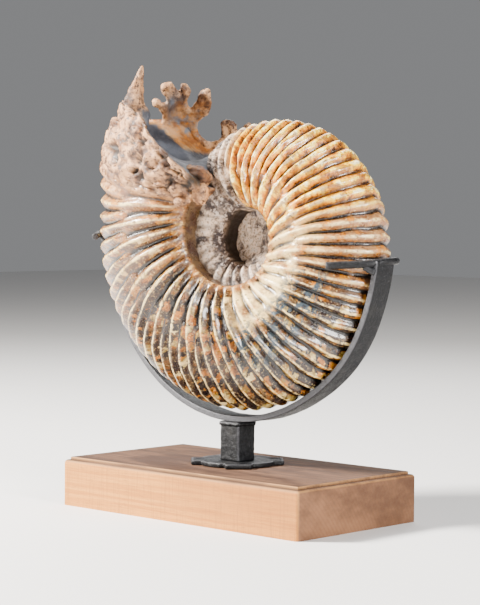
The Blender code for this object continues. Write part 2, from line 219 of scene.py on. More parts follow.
def halfSection():
    turn = np.linspace(0.0, math.pi / 2, 60)
    out = shell["sideAt"] + (1 - shell["sideAt"]) * np.cos(turn) ** (2 / shell["roundness"])
    side = shell["halfWidth"] * np.sin(turn) ** (2 / shell["roundness"])
    inward = np.linspace(0.0, 1.0, 30)[1:]
    out = np.r_[out, shell["sideAt"] - (shell["sideAt"] - shell["shoulderAt"]) * inward]
    drop = shell["halfWidth"] - shell["shoulderHalf"]
    side = np.r_[side, shell["halfWidth"] - drop * inward ** shell["flankCurve"]]
    length = np.r_[0.0, np.cumsum(np.hypot(np.diff(out), np.diff(side)))]
    return out, side, length / length[-1]


sectionOut, sectionSide, sectionShare = halfSection()


def whorlWidth(angle):
    return shell["radius"] * np.exp(-shell["growth"] * (np.radians(angle) - math.pi))


def whorlRadius(angle):
    return whorlWidth(angle) * (1 + shell["longAxis"] * np.cos(2 * np.radians(angle)))


def ribPhase(angle):
    slow = shell["growth"] / 2
    return (1 - np.exp(-slow * np.radians(angle - 180))) / slow / math.radians(shell["ribPitch"])


def ribProfile(angle, share):
    phase = ribPhase(angle)
    outer = 2 * np.abs(phase - np.round(phase))
    inner = 2 * np.abs(phase / 2 - np.round(phase / 2))
    lobes = 2 * np.cos(outer * math.pi / 2) - 1
    power = 0.85 + 0.7 * band(angle, 225, 292, 15)
    double = 2 * (0.5 + 0.5 * np.cos(math.pi * outer)) ** power - 1
    single = 2 * (0.5 + 0.5 * np.cos(math.pi * inner)) ** power - 1
    toFlank = smooth(share, 0.16, 0.36)
    toSingle = smooth(share, 0.50, 0.75)
    return lobes * (1 - toFlank) + toFlank * (double * (1 - toSingle) + single * toSingle)


def bareness(angle, side):
    lower = 1 - smooth(angle, shell["bareFull"], shell["bareFrom"])
    return lower * (1 - smooth(side, -0.12, 0.06))


def place(x, y, z):
    lean, turn = math.radians(shell["lean"]), math.radians(shell["turn"])
    y, z = y * math.cos(lean) - z * math.sin(lean), y * math.sin(lean) + z * math.cos(lean)
    x, y = x * math.cos(turn) - y * math.sin(turn), x * math.sin(turn) + y * math.cos(turn)
    return np.stack([x, y, z], axis=-1) + np.array(shell["centre"])


def coilPoint(angle, side, shrink=1.0, lift=0.0):
    angle, side = np.broadcast_arrays(np.asarray(angle, float), np.asarray(side, float))
    share = np.abs(side)
    bent = angle + sum(c * share ** (i + 1) for i, c in enumerate(shell["ribBend"]))
    grown = (1 + shell["bareSwell"] * bareness(angle, side)) * shrink
    out = shell["sideAt"] + (np.interp(share, sectionShare, sectionOut) - shell["sideAt"]) * grown
    half = np.interp(share, sectionShare, sectionSide) * np.where(side < 0, -1, 1) * grown
    half = half * (1 + shell["wider"] * (1 - smooth(angle, 160, shell["widerFrom"])))
    across = out * whorlRadius(bent)
    along = half * whorlWidth(bent)
    centre = shell["sideAt"] * 0.8
    reach = np.hypot(out - centre, half) + 1e-6
    across = across + lift * (out - centre) / reach
    along = along + lift * half / reach
    turn = np.radians(bent)
    return place(across * np.cos(turn), along, across * np.sin(turn))


def seamPoint(angle, sign):
    bent = angle + sum(shell["ribBend"])
    across = shell["seamAt"] * whorlRadius(bent)
    turn = np.radians(bent)
    return place(across * np.cos(turn), sign * shell["seamHalf"] * whorlWidth(bent), across * np.sin(turn))


def middlePoint(angle):
    turn = np.radians(angle)
    across = shell["sideAt"] * whorlRadius(angle)
    return place(across * np.cos(turn), across * 0, across * np.sin(turn))


# lumps and pits of the bare front wall, placed by where the photograph shows them:
# x, y, half width and half height in its pixels, then how far each stands out (mm)
frontForms = (
    (130, 122, 4, 9, 3.5), (136, 131, 4, 10, 3.2), (125, 108, 4, 5, 2.5), (120, 125, 5, 5, 3.0),
    (125, 151, 6, 8, 4.2), (114, 137, 5, 6, 3.0), (149, 156, 6, 12, 4.5), (160, 171, 8, 6, 3.2),
    (122, 172, 8, 8, 2.8), (108, 152, 4, 5, 2.8), (106, 168, 5, 7, 2.5), (146, 179, 8, 5, 2.8),
    (138, 148, 6, 5, 2.6), (131, 162, 5, 5, 2.6), (151, 134, 5, 6, 2.0), (113, 122, 4, 5, 2.0),
    (134, 171, 3.5, 3.5, -8.0), (141, 175, 3, 4, -7.0), (114, 153, 3, 9, -6.0), (155, 181, 6, 2.5, -5.0),
    (132, 140, 3, 6, -3.0), (143, 141, 3, 5, -3.0), (119, 160, 4, 3, -2.5), (126, 138, 5, 2.5, -2.2),
    (140, 163, 3, 5, -3.5), (152, 169, 4, 2, -3.0), (120, 115, 5, 2, -1.8), (129, 131, 2, 6, -2.2),
    (168, 183, 3, 6, -2.5),
)


def frontRelief(points, bare):
    x, y = pixelOf(points * mm)
    height = np.zeros(len(points))
    for middleX, middleY, wide, high, proud in frontForms:
        away = ((x - middleX) / wide) ** 2 + ((y - middleY) / high) ** 2
        height += proud * np.exp(-(away ** 1.3))
    wobble = np.stack([noiseAt(points, 9.0, k) for k in (31.0, 32.0, 33.0)], axis=1) * 4.0
    blocks = smooth(cellsAt((points + wobble) * (1, 1, 0.75), 15.0, 2.0), 0.03, 0.4) - 0.65
    small = smooth(cellsAt((points + wobble) * (1, 1, 0.6), 7.0, 5.0), 0.03, 0.4) - 0.65
    grain = noiseAt(points, 4.0, 3.0)
    return height * bare + bare * (4.6 * blocks + 1.2 * small + 0.6 * grain)


# lower edge of the tan back wall in the broken end, in the photograph's pixels
tanEdge = ((140, 104), (151.5, 116.5), (167, 132), (182, 147), (208, 153.5), (225, 150))


def greyBand(x, y):
    return smooth(y - np.interp(x, [p[0] for p in tanEdge], [p[1] for p in tanEdge]), -1.5, 2.0)


mainGrid = {"ribStep": 0.74, "bareStep": 0.5, "frontSides": 76, "backSides": 36, "frontWall": 6, "backWall": 4}


def buildWhorl():
    rows = [(a, 0.0, 1.0) for a in np.arange(shell["outerEnd"], shell["bareFrom"], -mainGrid["ribStep"])]
    for a in np.arange(shell["bareFrom"], shell["aperture"], -mainGrid["bareStep"]):
        rows.append((a, float(smooth(-a, -152, -138)), 1.0))
    depths = np.linspace(0.0, shell["septum"][-1][0], 16)
    for depth in depths:
        shrink = float(np.interp(depth, *zip(*shell["septum"])))
        rows.append((shell["aperture"] + depth, 1.0 - depth / 12, shrink))
    rows = np.array(rows)
    sides = np.r_[np.linspace(-1, 0, mainGrid["frontSides"]), np.linspace(0, 1, mainGrid["backSides"])[1:]]
    front, back = mainGrid["frontWall"], mainGrid["backWall"]
    count = front + len(sides) + back + 1

    deselect()
    bpy.ops.mesh.primitive_grid_add(x_subdivisions=count - 1, y_subdivisions=len(rows) - 1, size=1.0)
    item = bpy.context.object
    item.name = "fossilAmmonite"
    flat = coordinates(item)
    column = np.round((flat[:, 0] + 0.5) * (count - 1)).astype(int)
    row = np.round((flat[:, 1] + 0.5) * (len(rows) - 1)).astype(int)

    # one side value for each column; the walls run from the shoulder on to the seam
    sideOf = np.r_[np.full(front, -1.0), sides, np.full(back, 1.0), -1.0]
    wallOf = np.r_[np.linspace(1, 0, front + 1)[:-1], np.zeros(len(sides)), np.linspace(0, 1, back + 1)[1:], 1.0]
    angle, rimShare, shrink = rows[row].T
    side, wall = sideOf[column], wallOf[column]
    share = np.abs(side)
    broken = np.interp(side, [r[0] for r in rim], [r[1] for r in rim])
    broken = broken + (shell["seamRim"] - broken) * wall
    inSeptum = smooth(-shrink, -0.985, -0.93)
    at = angle + rimShare * (broken - shell["aperture"])
    bare = bareness(at, side)
    drift = noiseAt(coilPoint(at, side), 30.0, 6.0) * 0.8
    rib = ribProfile(at + drift, share) * (1 - smooth(share, 0.93, 1.0)) * (1 - 0.85 * bare)
    grown = 1 - 0.03 * smooth(at, 474, 486)
    surface = coilPoint(at, side, shrink * grown)
    wobble = noiseAt(surface, 14.0, 1.0) * 0.6 + noiseAt(surface, 5.0, 4.0) * 0.4
    relief = frontRelief(surface, bare * (1 - inSeptum) * (1 - wall))
    height = shell["ribHeight"] * (1 + 0.3 * band(share, 0.3, 0.8, 0.1))
    lift = height * rib * (1 - inSeptum) + relief + wobble * (1 - inSeptum)
    points = coilPoint(at, side, shrink * grown, lift)
    seam = seamPoint(at, np.where(side < 0, -1.0, 1.0))
    middle = middlePoint(at)
    seam = middle + (seam - middle) * np.minimum(shrink, 1.0)[:, None]
    rounded = np.sin(wall * math.pi) * 2.0
    points = points + (seam - points) * (wall ** 0.9)[:, None]
    rounded = rounded + smooth(wall, 0.05, 0.3) * (1 - wall) * wobble * 4
    points = points + np.outer(rounded * np.where(side < 0, -1, 1), (0.0, 1.0, 0.0))
    points[row == len(rows) - 1] = middlePoint(shell["aperture"] + shell["septum"][-1][0])
    points[row == 0] = middlePoint(shell["outerEnd"])
    setCoordinates(item, points * mm)

    x, y = pixelOf(points * mm)
    # painted shade: a dark spot for the ledge hole, the hollows of the front wall's relief and a band along the seam
    # are darkened
    shadedHole = spot(x, y, 194, 179, 7, 6) * (side < -0.5) * (at < 175)
    pits = smooth(-relief, 0.9, 3.4) * 0.9
    gold = band(at, 377, 464, 6)
    dark = band(at, 212, 345, 14) * (1 - 0.55 * smooth(share, 0.9, 1.0))
    dark = np.maximum(dark, 0.6 * band(at, 176, 236, 12) * smooth(share, 0.2, 0.36))
    dark = dark * (1 - 0.8 * smooth(share, 0.52, 0.72) * smooth(at, 285, 302))
    pale = band(at, 292, 356, 8) * band(share, 0.62, 0.93, 0.08)
    pale = pale + 0.8 * band(at, 355, 376, 5) * band(share, 0.5, 0.9, 0.1)
    blue = band(at, 283, 348, 6) * band(share, 0.36, 0.66, 0.06)
    # painted shade gathered into one mask: hollows, the hole and the seam band
    cavity = pits + shadedHole * 1.5 + 0.5 * band(wall, 0.72, 0.97, 0.08)
    grey = greyBand(x, y)
    outside = 1 - inSeptum
    paint(
        item, np.stack([ribPhase(at + drift), side * 14, np.zeros(len(at))], axis=1),
        rib=rib, gold=gold, dark=dark, pale=np.clip(pale, 0, 1), blue=blue, bare=bare * outside,
        septum=inSeptum * grey, amber=inSeptum * (1 - grey), olive=smooth(wall, 0.0, 0.12) * outside,
        pit=smooth(at, 459, 470) * outside, cavity=np.clip(cavity, 0, 1),
    )
    tidyMesh(item)
    return item


innerGrid = {"start": 474.0, "end": 800.0, "step": 2.6, "sides": 50, "shrink": 0.965, "wall": 5}


def buildInnerWhorls():
    angles = np.arange(innerGrid["start"], innerGrid["end"], innerGrid["step"])
    wallSteps = innerGrid["wall"]
    count = innerGrid["sides"] + 2 * wallSteps + 1
    deselect()
    bpy.ops.mesh.primitive_grid_add(x_subdivisions=count - 1, y_subdivisions=len(angles) - 1, size=1.0)
    item = bpy.context.object
    item.name = "innerWhorls"
    flat = coordinates(item)
    column = np.round((flat[:, 0] + 0.5) * (count - 1)).astype(int)
    row = np.round((flat[:, 1] + 0.5) * (len(angles) - 1)).astype(int)
    toSeam = np.linspace(0, 1, wallSteps + 1)[1:]
    sideOf = np.r_[np.full(wallSteps, -1.0), np.linspace(-1, 1, innerGrid["sides"]), np.full(wallSteps, 1.0), -1.0]
    wallOf = np.r_[toSeam[::-1], np.zeros(innerGrid["sides"]), toSeam, 1.0]
    side, wall = sideOf[column], wallOf[column]
    angle = angles[row]
    share = np.abs(side)
    surface = coilPoint(angle, side, innerGrid["shrink"])
    rough = noiseAt(surface, 9.0, 5.0) * 1.5 + noiseAt(surface, 3.5, 6.0) * 1.0
    folds = ribProfile(angle, share) * (0.9 + 1.3 * band(angle, 592, 690, 12))
    points = coilPoint(angle, side, innerGrid["shrink"], rough + folds)
    seam = seamPoint(angle, np.where(side < 0, -1.0, 1.0))
    seam[:, 1] = shell["centre"][1] + (seam[:, 1] - shell["centre"][1]) * 0.35
    points = points + (seam - points) * wall[:, None]
    sunk = 1 - 0.5 * smooth(angle, 640, 740)
    points[:, 1] = shell["centre"][1] + (points[:, 1] - shell["centre"][1]) * sunk
    points[row == 0] = middlePoint(angles[0])
    points[row == len(angles) - 1] = middlePoint(angles[-1])
    setCoordinates(item, points * mm)
    # painted shade: the wall on the pit's left side, which lies in shadow, a band of the inner whorl beside it, the
    # slots between the folds and the hollows of the rough surface are darkened
    shade = smooth(wall, 0.0, 0.35) * band(angle, 470, 625, 15)
    slotShade = smooth(-folds, 0.5, 1.8) * band(angle, 592, 690, 12)
    lipShade = (1 - smooth(share, 0.62, 0.85)) * band(angle, 500, 610, 20) * 0.75
    paint(item, np.stack([ribPhase(angle), side * 14, np.ones(len(angle))], axis=1), rib=folds, pit=1.0,
          cavity=np.clip(smooth(-rough, 1.0, 2.4) * 0.8 + shade + slotShade * 0.8 + lipShade, 0, 1))
    tidyMesh(item)
    return item


def blob(name, middle, sizes, detail, rough, roughSize, seed, turn=0.0):
    deselect()
    bpy.ops.mesh.primitive_ico_sphere_add(subdivisions=detail, radius=1.0)
    item = bpy.context.object
    item.name = name
    points = coordinates(item)
    direction = points / np.linalg.norm(points, axis=1)[:, None]
    points = points * np.array(sizes)
    cosine, sine = math.cos(turn), math.sin(turn)
    points = points @ np.array(((cosine, sine, 0), (-sine, cosine, 0), (0, 0, 1)))
    points = points + np.array(middle)
    if rough:
        points = points + direction * (noiseAt(points, roughSize, seed) * rough)[:, None]
    setCoordinates(item, points * mm)
    return item


# the branched suture fingers, traced as the photograph shows them, in its pixels
fingerOutline = (
    (156, 128), (157, 125), (161, 122), (163, 119), (161.5, 113), (158, 108), (153.5, 105.5), (151.5, 102),
    (154, 98.6), (158, 99), (162.5, 103), (165.5, 103.5), (166.6, 101), (165.4, 96), (162, 92.5), (159.8, 89),
    (161, 85.2), (166, 82.6), (171.6, 82.8), (174.6, 87.5), (177.2, 91.5), (179.6, 91.6), (180.4, 89),
    (179.8, 86), (181.6, 83.6), (185.8, 84.6), (188.6, 87.4), (191.6, 90), (191, 93), (188.4, 96.4),
    (187.2, 100), (187.4, 104.6), (189, 107.6), (191.4, 107.4), (194.2, 104.2), (197.4, 100), (197.6, 95.6),
    (201, 91.2), (206.4, 88.8), (210.3, 90.6), (211.5, 99), (211.2, 108), (207.4, 114.8), (201.4, 118.8),
    (198.2, 122.4), (197, 127.6), (198.2, 132.2), (201.4, 137.4), (206.8, 141.2), (213, 142.2), (218.4, 139.6),
    (221.6, 136.4), (222, 131.4), (220.6, 125.8), (221.8, 120.8), (226.6, 118.8), (232.4, 120.6), (236.6, 125.2),
    (237, 132), (239, 132), (242, 128.4), (245.4, 124), (249, 122.2), (252.2, 125.2), (251.2, 130),
    (251, 146), (236, 156), (214, 160), (190, 160), (172, 152), (160, 140),
)
fingers = {"step": 0.9, "thickest": 4.3, "shrink": 0.975, "grow": 0.35}


def insideOutline(x, y, outline):
    found = np.zeros(len(x), bool)
    for (x0, y0), (x1, y1) in zip(outline, outline[1:] + outline[:1]):
        crossing = (y0 > y) != (y1 > y)
        with np.errstate(divide="ignore", invalid="ignore"):
            at = (x1 - x0) * (y - y0) / (y1 - y0) + x0
        found ^= crossing & (x < at)
    return found


def outlineDistance(x, y, outline):
    best = np.full(len(x), 1e9)
    for (x0, y0), (x1, y1) in zip(outline, outline[1:] + outline[:1]):
        dx, dy = x1 - x0, y1 - y0
        t = np.clip(((x - x0) * dx + (y - y0) * dy) / (dx * dx + dy * dy), 0, 1)
        best = np.minimum(best, np.hypot(x - x0 - t * dx, y - y0 - t * dy))
    return best


def onBackWall(x, y):
    angle, side = np.meshgrid(np.linspace(118, 162, 221), np.linspace(-0.12, 0.80, 231), indexing="ij")
    angle, side = angle.ravel(), side.ravel()
    points = coilPoint(angle, side, fingers["shrink"])
    px, py = pixelOf(points * mm)
    tree = kdtree.KDTree(len(px))
    for i in range(len(px)):
        tree.insert((px[i], py[i], 0.0), i)
    tree.balance()
    result = []
    for u, v in zip(x, y):
        near = tree.find_n((u, v, 0.0), 4)
        weights = np.array([1 / (d + 0.05) for _, _, d in near])
        result.append(sum(points[i] * w for (_, i, _), w in zip(near, weights)) / weights.sum())
    return np.array(result)


def buildFingers():
    step = fingers["step"]
    outline = list(fingerOutline)
    across = np.arange(148, 256, step)
    down = np.arange(79, 164, step)
    deselect()
    bpy.ops.mesh.primitive_grid_add(x_subdivisions=len(across) - 1, y_subdivisions=len(down) - 1, size=1.0)
    item = bpy.context.object
    item.name = "sutureFingers"
    flat = coordinates(item)
    x = across[0] + (flat[:, 0] + 0.5) * (across[-1] - across[0])
    y = down[-1] - (flat[:, 1] + 0.5) * (down[-1] - down[0])
    inside = insideOutline(x, y, outline)
    distance = outlineDistance(x, y, outline)
    keep = inside | (distance < fingers["grow"])
    points = np.zeros((len(x), 3))
    points[keep] = onBackWall(x[keep], y[keep])
    setCoordinates(item, points * mm)
    # cut away what is outside the outline
    bm = bmesh.new()
    bm.from_mesh(item.data)
    bm.verts.ensure_lookup_table()
    bmesh.ops.delete(bm, geom=[bm.verts[i] for i in np.nonzero(~keep)[0]], context="VERTS")
    bm.to_mesh(item.data)
    bm.free()
    depth = np.where(inside, distance, 0.0)[keep] + 0.5
    full = fingers["thickest"]
    half = np.sqrt(np.clip(depth * (2 * full - depth), 0.3, None))
    half = np.where(depth > full, full - 1.6 * smooth(depth, full, full * 2.2), half)
    weights = item.vertex_groups.new(name="thickness")
    for i, value in enumerate(half):
        weights.add([i], float(value / full), "REPLACE")
    thick = item.modifiers.new("thickness", "SOLIDIFY")
    thick.thickness = 2 * full * mm
    thick.offset = 0.0
    thick.vertex_group = "thickness"
    thick.use_even_offset = False
    remesh = item.modifiers.new("fuse", "REMESH")
    remesh.mode = "VOXEL"
    remesh.voxel_size = 1.15 * mm
    ease = item.modifiers.new("ease", "SMOOTH")
    ease.iterations = 3
    applyModifiers(item)
    points = coordinates(item) / mm
    normals = normalsOf(item)
    lumps = noiseAt(points, 6.0, 7.0) * 1.1 + noiseAt(points, 2.6, 8.0) * 0.35
    points = points + normals * lumps[:, None]
    setCoordinates(item, points * mm)
    px, py = pixelOf(points * mm)
    towards = normals @ -np.array(view["forward"])
    low = greyBand(px, py) * smooth(towards, -0.2, 0.3)
    amber = spot(px, py, 188, 128, 18, 24) * smooth(towards, 0.0, 0.5) * (1 - low)
    # column marks a painted highlight: a grey-blue streak given the septum colour
    column = spot(px, py, 171.5, 109, 4.5, 13) * smooth(towards, -0.1, 0.4)
    # painted shade: the hollows between the lumps are darkened
    paint(
        item, plainCoil(points), bare=1.0, amber=np.clip(amber * 1.3, 0, 1),
        septum=np.clip(column * 1.3 + low, 0, 1), cavity=smooth(-lumps, 0.5, 1.1) * 0.6,
    )
    return item


# the spike left of the front wall: middle and half width of each ring, in millimetres
spikeRings = (
    ((-112.0, -52.0, 366.0), 6.0), ((-110.0, -47.0, 377.0), 13.0), ((-108.0, -42.0, 388.0), 18.0),
    ((-105.0, -43.0, 400.0), 15.5), ((-102.2, -46.0, 414.0), 10.5), ((-99.2, -46.0, 425.0), 7.6),
    ((-95.2, -46.0, 435.0), 5.0), ((-92.0, -46.0, 444.0), 3.0), ((-90.2, -46.0, 448.6), 1.0),
)
spike = {"squash": 0.72, "turn": 43.0, "rings": 46, "sides": 26}


def buildSpike():
    deselect()
    bpy.ops.mesh.primitive_cylinder_add(vertices=spike["sides"], radius=1.0, depth=1.0, end_fill_type="TRIFAN")
    item = bpy.context.object
    item.name = "spike"
    bpy.ops.object.mode_set(mode="EDIT")
    bpy.ops.mesh.select_all(action="SELECT")
    bpy.ops.mesh.bisect(plane_co=(0, 0, 0), plane_no=(0, 0, 1))
    for k in range(1, spike["rings"]):
        bpy.ops.mesh.select_all(action="SELECT")
        bpy.ops.mesh.bisect(plane_co=(0, 0, k / spike["rings"] - 0.5), plane_no=(0, 0, 1))
    bpy.ops.object.mode_set(mode="OBJECT")
    points = coordinates(item)
    share = points[:, 2] + 0.5
    heights = np.array([r[0][2] for r in spikeRings])
    z = heights[0] + share * (heights[-1] - heights[0])
    middle = np.stack([np.interp(z, heights, [r[0][i] for r in spikeRings]) for i in range(3)], axis=1)
    half = np.interp(z, heights, [r[1] for r in spikeRings])
    facing = math.radians(spike["turn"])
    wide = np.array((math.cos(facing), math.sin(facing), 0.0))
    deep = np.array((-math.sin(facing), math.cos(facing), 0.0))
    ring = np.outer(points[:, 0] * half, wide) + np.outer(points[:, 1] * half * spike["squash"], deep)
    middle = middle + ring
    outward = ring / (np.linalg.norm(ring, axis=1)[:, None] + 1e-6)
    rough = cellsAt(middle * np.array((1, 1, 0.6)), 9.0, 4.0) - 0.5
    rough = rough * 2.2 + noiseAt(middle, 3.2, 9.0) * 0.8
    fade = np.clip(half / 12, 0.15, 1)
    middle = middle + outward * (rough * fade)[:, None]
    setCoordinates(item, middle * mm)
    x, y = pixelOf(middle * mm)
    inner = smooth(x - (140.6 + (y - 114) * 0.36), -1.5, 2.0) * smooth(y, 106, 113)
    # painted shade: the hollows of the rough surface are darkened, except on the inner side
    paint(item, plainCoil(middle), bare=1.0, septum=inner, cavity=smooth(-rough, 0.7, 1.6) * fade * (1 - inner))
    return item


# lumps and knobs joined to the fossil: middle in millimetres, half sizes, roughness
stoneLumps = (
    ((-10.5, -71.5, 322.0), (10.0, 8.0, 7.0), 1.6), ((-7.5, -71.5, 312.5), (9.0, 8.0, 5.0), 1.4),
    ((-13.0, -53.0, 335.0), (22.0, 18.0, 12.5), 2.0), ((8.2, -62.0, 320.0), (9.0, 8.0, 11.0), 2.0),
)
pitForms = {"coreRadius": 52.0, "coreDepth": 18.0, "rise": 22.0}


def buildAmmonite():
    pieces = [buildWhorl(), buildInnerWhorls(), buildFingers(), buildSpike()]
    for number, (middle, sizes, rough) in enumerate(stoneLumps):
        item = blob(f"knob{number}", middle, sizes, 4, rough, 4.5, 10 + number)
        points = coordinates(item) / mm
        x, y = pixelOf(points * mm)
        # the dented hole is also darkened as painted shade
        shadedHole = spot(x, y, 194, 180, 5.5, 4.5)
        setCoordinates(item, (points + np.outer(shadedHole * 9.0, view["forward"])) * mm)
        paint(item, plainCoil(points), bare=1.0, cavity=np.clip(shadedHole * 1.6, 0, 1))
        pieces.append(item)
    core = blob("core", shell["centre"], (pitForms["coreRadius"], pitForms["coreDepth"] / 2, pitForms["coreRadius"]),
                5, 0.0, 9.0, 22.0)
    points = coordinates(core) / mm
    rough = noiseAt(points, 11.0, 23.0) * 3.2 + noiseAt(points, 4.5, 24.0) * 1.8 + noiseAt(points, 2.2, 25.0) * 0.7
    points[:, 1] -= pitForms["rise"] * smooth(points[:, 0], 30.0, 92.0) - rough
    points[:, 1] -= 9.0 * smooth(shell["centre"][2] - points[:, 2], 6.0, 30.0)
    setCoordinates(core, points * mm)
    # painted shade: the deepest hollows of the rough pit floor are darkened
    paint(core, plainCoil(points), pit=1.0, cavity=smooth(rough, 1.6, 3.6) * 0.9)
    pieces.append(core)
    whole = joined(pieces)
    whole.data.shade_smooth()
    print("stage: ammonite", sum(len(p.vertices) - 2 for p in whole.data.polygons), "triangles")
    return whole


# materials
def linear(red, green, blue):
    def part(v):
        v = v / 255
        return v / 12.92 if v <= 0.04045 else ((v + 0.055) / 1.055) ** 2.4
    return (part(red), part(green), part(blue), 1.0)


def newMaterial(name):
    made = bpy.data.materials.new(name)
    made.use_nodes = True
    tree = made.node_tree
    return made, tree, tree.nodes["Principled BSDF"]


def feed(tree, value, socket):
    if isinstance(value, bpy.types.NodeSocket):
        tree.links.new(value, socket)
    else:
        socket.default_value = value


def mathNode(tree, operation, a, b=None, c=None, clamp=False):
    node = tree.nodes.new("ShaderNodeMath")
    node.operation = operation
    node.use_clamp = clamp
    for value, socket in zip((a, b, c), node.inputs):
        if value is not None:
            feed(tree, value, socket)
    return node.outputs[0]


def times(tree, a, b):
    return mathNode(tree, "MULTIPLY", a, b)


def plus(tree, a, b, clamp=False):
    return mathNode(tree, "ADD", a, b, clamp=clamp)


def scaled(tree, value, factor, offset):
    return mathNode(tree, "MULTIPLY_ADD", value, factor, offset)


def mixColour(tree, factor, a, b):
    node = tree.nodes.new("ShaderNodeMix")
    node.data_type = "RGBA"
    feed(tree, factor, node.inputs["Factor"])
    feed(tree, a, node.inputs["A"])
    feed(tree, b, node.inputs["B"])
    return node.outputs["Result"]


def ranged(tree, value, low, high, toLow=0.0, toHigh=1.0):
    node = tree.nodes.new("ShaderNodeMapRange")
    node.interpolation_type = "SMOOTHSTEP"
    feed(tree, value, node.inputs["Value"])
    for name, number in (("From Min", low), ("From Max", high), ("To Min", toLow), ("To Max", toHigh)):
        node.inputs[name].default_value = number
    return node.outputs["Result"]


def objectCoordinates(tree):
    return tree.nodes.new("ShaderNodeTexCoord").outputs["Object"]


def stretched(tree, vector, scale, shift=(0, 0, 0)):
    node = tree.nodes.new("ShaderNodeMapping")
    tree.links.new(vector, node.inputs["Vector"])
    node.inputs["Scale"].default_value = scale
    node.inputs["Location"].default_value = shift
    return node.outputs["Vector"]


def noiseNode(tree, vector, scale, detail=3.0, roughness=0.55, distortion=0.0):
    node = tree.nodes.new("ShaderNodeTexNoise")
    tree.links.new(vector, node.inputs["Vector"])
    node.inputs["Scale"].default_value = scale
    node.inputs["Detail"].default_value = detail
    node.inputs["Roughness"].default_value = roughness
    node.inputs["Distortion"].default_value = distortion
    return node.outputs["Fac"]


def noiseColour(tree, vector, scale):
    node = tree.nodes.new("ShaderNodeTexNoise")
    tree.links.new(vector, node.inputs["Vector"])
    node.inputs["Scale"].default_value = scale
    node.inputs["Detail"].default_value = 2.0
    return node.outputs["Color"]


def squareCells(tree, vector):
    node = tree.nodes.new("ShaderNodeTexVoronoi")
    node.distance = "CHEBYCHEV"
    tree.links.new(vector, node.inputs["Vector"])
    node.inputs["Scale"].default_value = 1.0
    return node.outputs["Color"]


def ramp(tree, value, stops):
    node = tree.nodes.new("ShaderNodeValToRGB")
    feed(tree, value, node.inputs["Fac"])
    stripes = node.color_ramp
    while len(stripes.elements) < len(stops):
        stripes.elements.new(0.5)
    for element, (position, colour) in zip(stripes.elements, stops):
        element.position = position
        element.color = colour
    return node.outputs["Color"]


def attribute(tree, name):
    node = tree.nodes.new("ShaderNodeAttribute")
    node.attribute_name = name
    return node.outputs["Vector" if name == "coil" else "Fac"]


def bumpNode(tree, height, strength, distance, normal=None):
    node = tree.nodes.new("ShaderNodeBump")
    tree.links.new(height, node.inputs["Height"])
    node.inputs["Strength"].default_value = strength
    node.inputs["Distance"].default_value = distance
    if normal is not None:
        tree.links.new(normal, node.inputs["Normal"])
    return node.outputs["Normal"]


def buildGrainGroup():
    group = bpy.data.node_groups.new("surfaceGrain", "ShaderNodeTree")
    group.interface.new_socket("vector", in_out="INPUT", socket_type="NodeSocketVector")
    for name, value in (("scale", 400.0), ("strength", 0.5), ("height", 0.001)):
        group.interface.new_socket(name, in_out="INPUT", socket_type="NodeSocketFloat").default_value = value
    group.interface.new_socket("grain", in_out="OUTPUT", socket_type="NodeSocketFloat")
    group.interface.new_socket("normal", in_out="OUTPUT", socket_type="NodeSocketVector")
    entry, leave = group.nodes.new("NodeGroupInput"), group.nodes.new("NodeGroupOutput")
    texture, bump = group.nodes.new("ShaderNodeTexNoise"), group.nodes.new("ShaderNodeBump")
    texture.inputs["Detail"].default_value = 4.0
    texture.inputs["Roughness"].default_value = 0.68
    for start, end in (
        (entry.outputs["vector"], texture.inputs["Vector"]), (entry.outputs["scale"], texture.inputs["Scale"]),
        (entry.outputs["strength"], bump.inputs["Strength"]), (entry.outputs["height"], bump.inputs["Distance"]),
        (texture.outputs["Fac"], bump.inputs["Height"]), (texture.outputs["Fac"], leave.inputs["grain"]),
        (bump.outputs["Normal"], leave.inputs["normal"]),
    ):
        group.links.new(start, end)
    return group


grainGroup = buildGrainGroup()


def surfaceGrain(tree, vector, scale, strength, height):
    node = tree.nodes.new("ShaderNodeGroup")
    node.node_tree = grainGroup
    tree.links.new(vector, node.inputs["vector"])
    for name, value in (("scale", scale), ("strength", strength), ("height", height)):
        node.inputs[name].default_value = value
    return node.outputs["grain"], node.outputs["normal"]


# colours of the fossil, as red, green and blue from 0 to 255
fossilColours = {
    "beige": linear(200, 164, 122), "rose": linear(166, 124, 88), "cream": linear(250, 230, 180),
    "brown": linear(84, 56, 36), "umber": linear(34, 22, 16), "plum": linear(62, 42, 40),
    "orange": linear(212, 150, 24), "amber": linear(240, 188, 30), "yellow": linear(252, 224, 78),
    "olive": linear(160, 138, 70), "white": linear(255, 246, 204), "slate": linear(104, 116, 124),
    "bareLight": linear(214, 178, 142), "bareDark": linear(118, 92, 74), "rust": linear(156, 110, 56),
    "septum": linear(132, 136, 144), "septumDark": linear(78, 80, 88), "pitLight": linear(232, 212, 192),
    "pitDark": linear(92, 82, 84), "creviceShade": linear(72, 56, 40), "wall": linear(106, 86, 64),
    "wallOlive": linear(120, 100, 72), "tan": linear(184, 150, 114), "ash": linear(218, 206, 196),
}


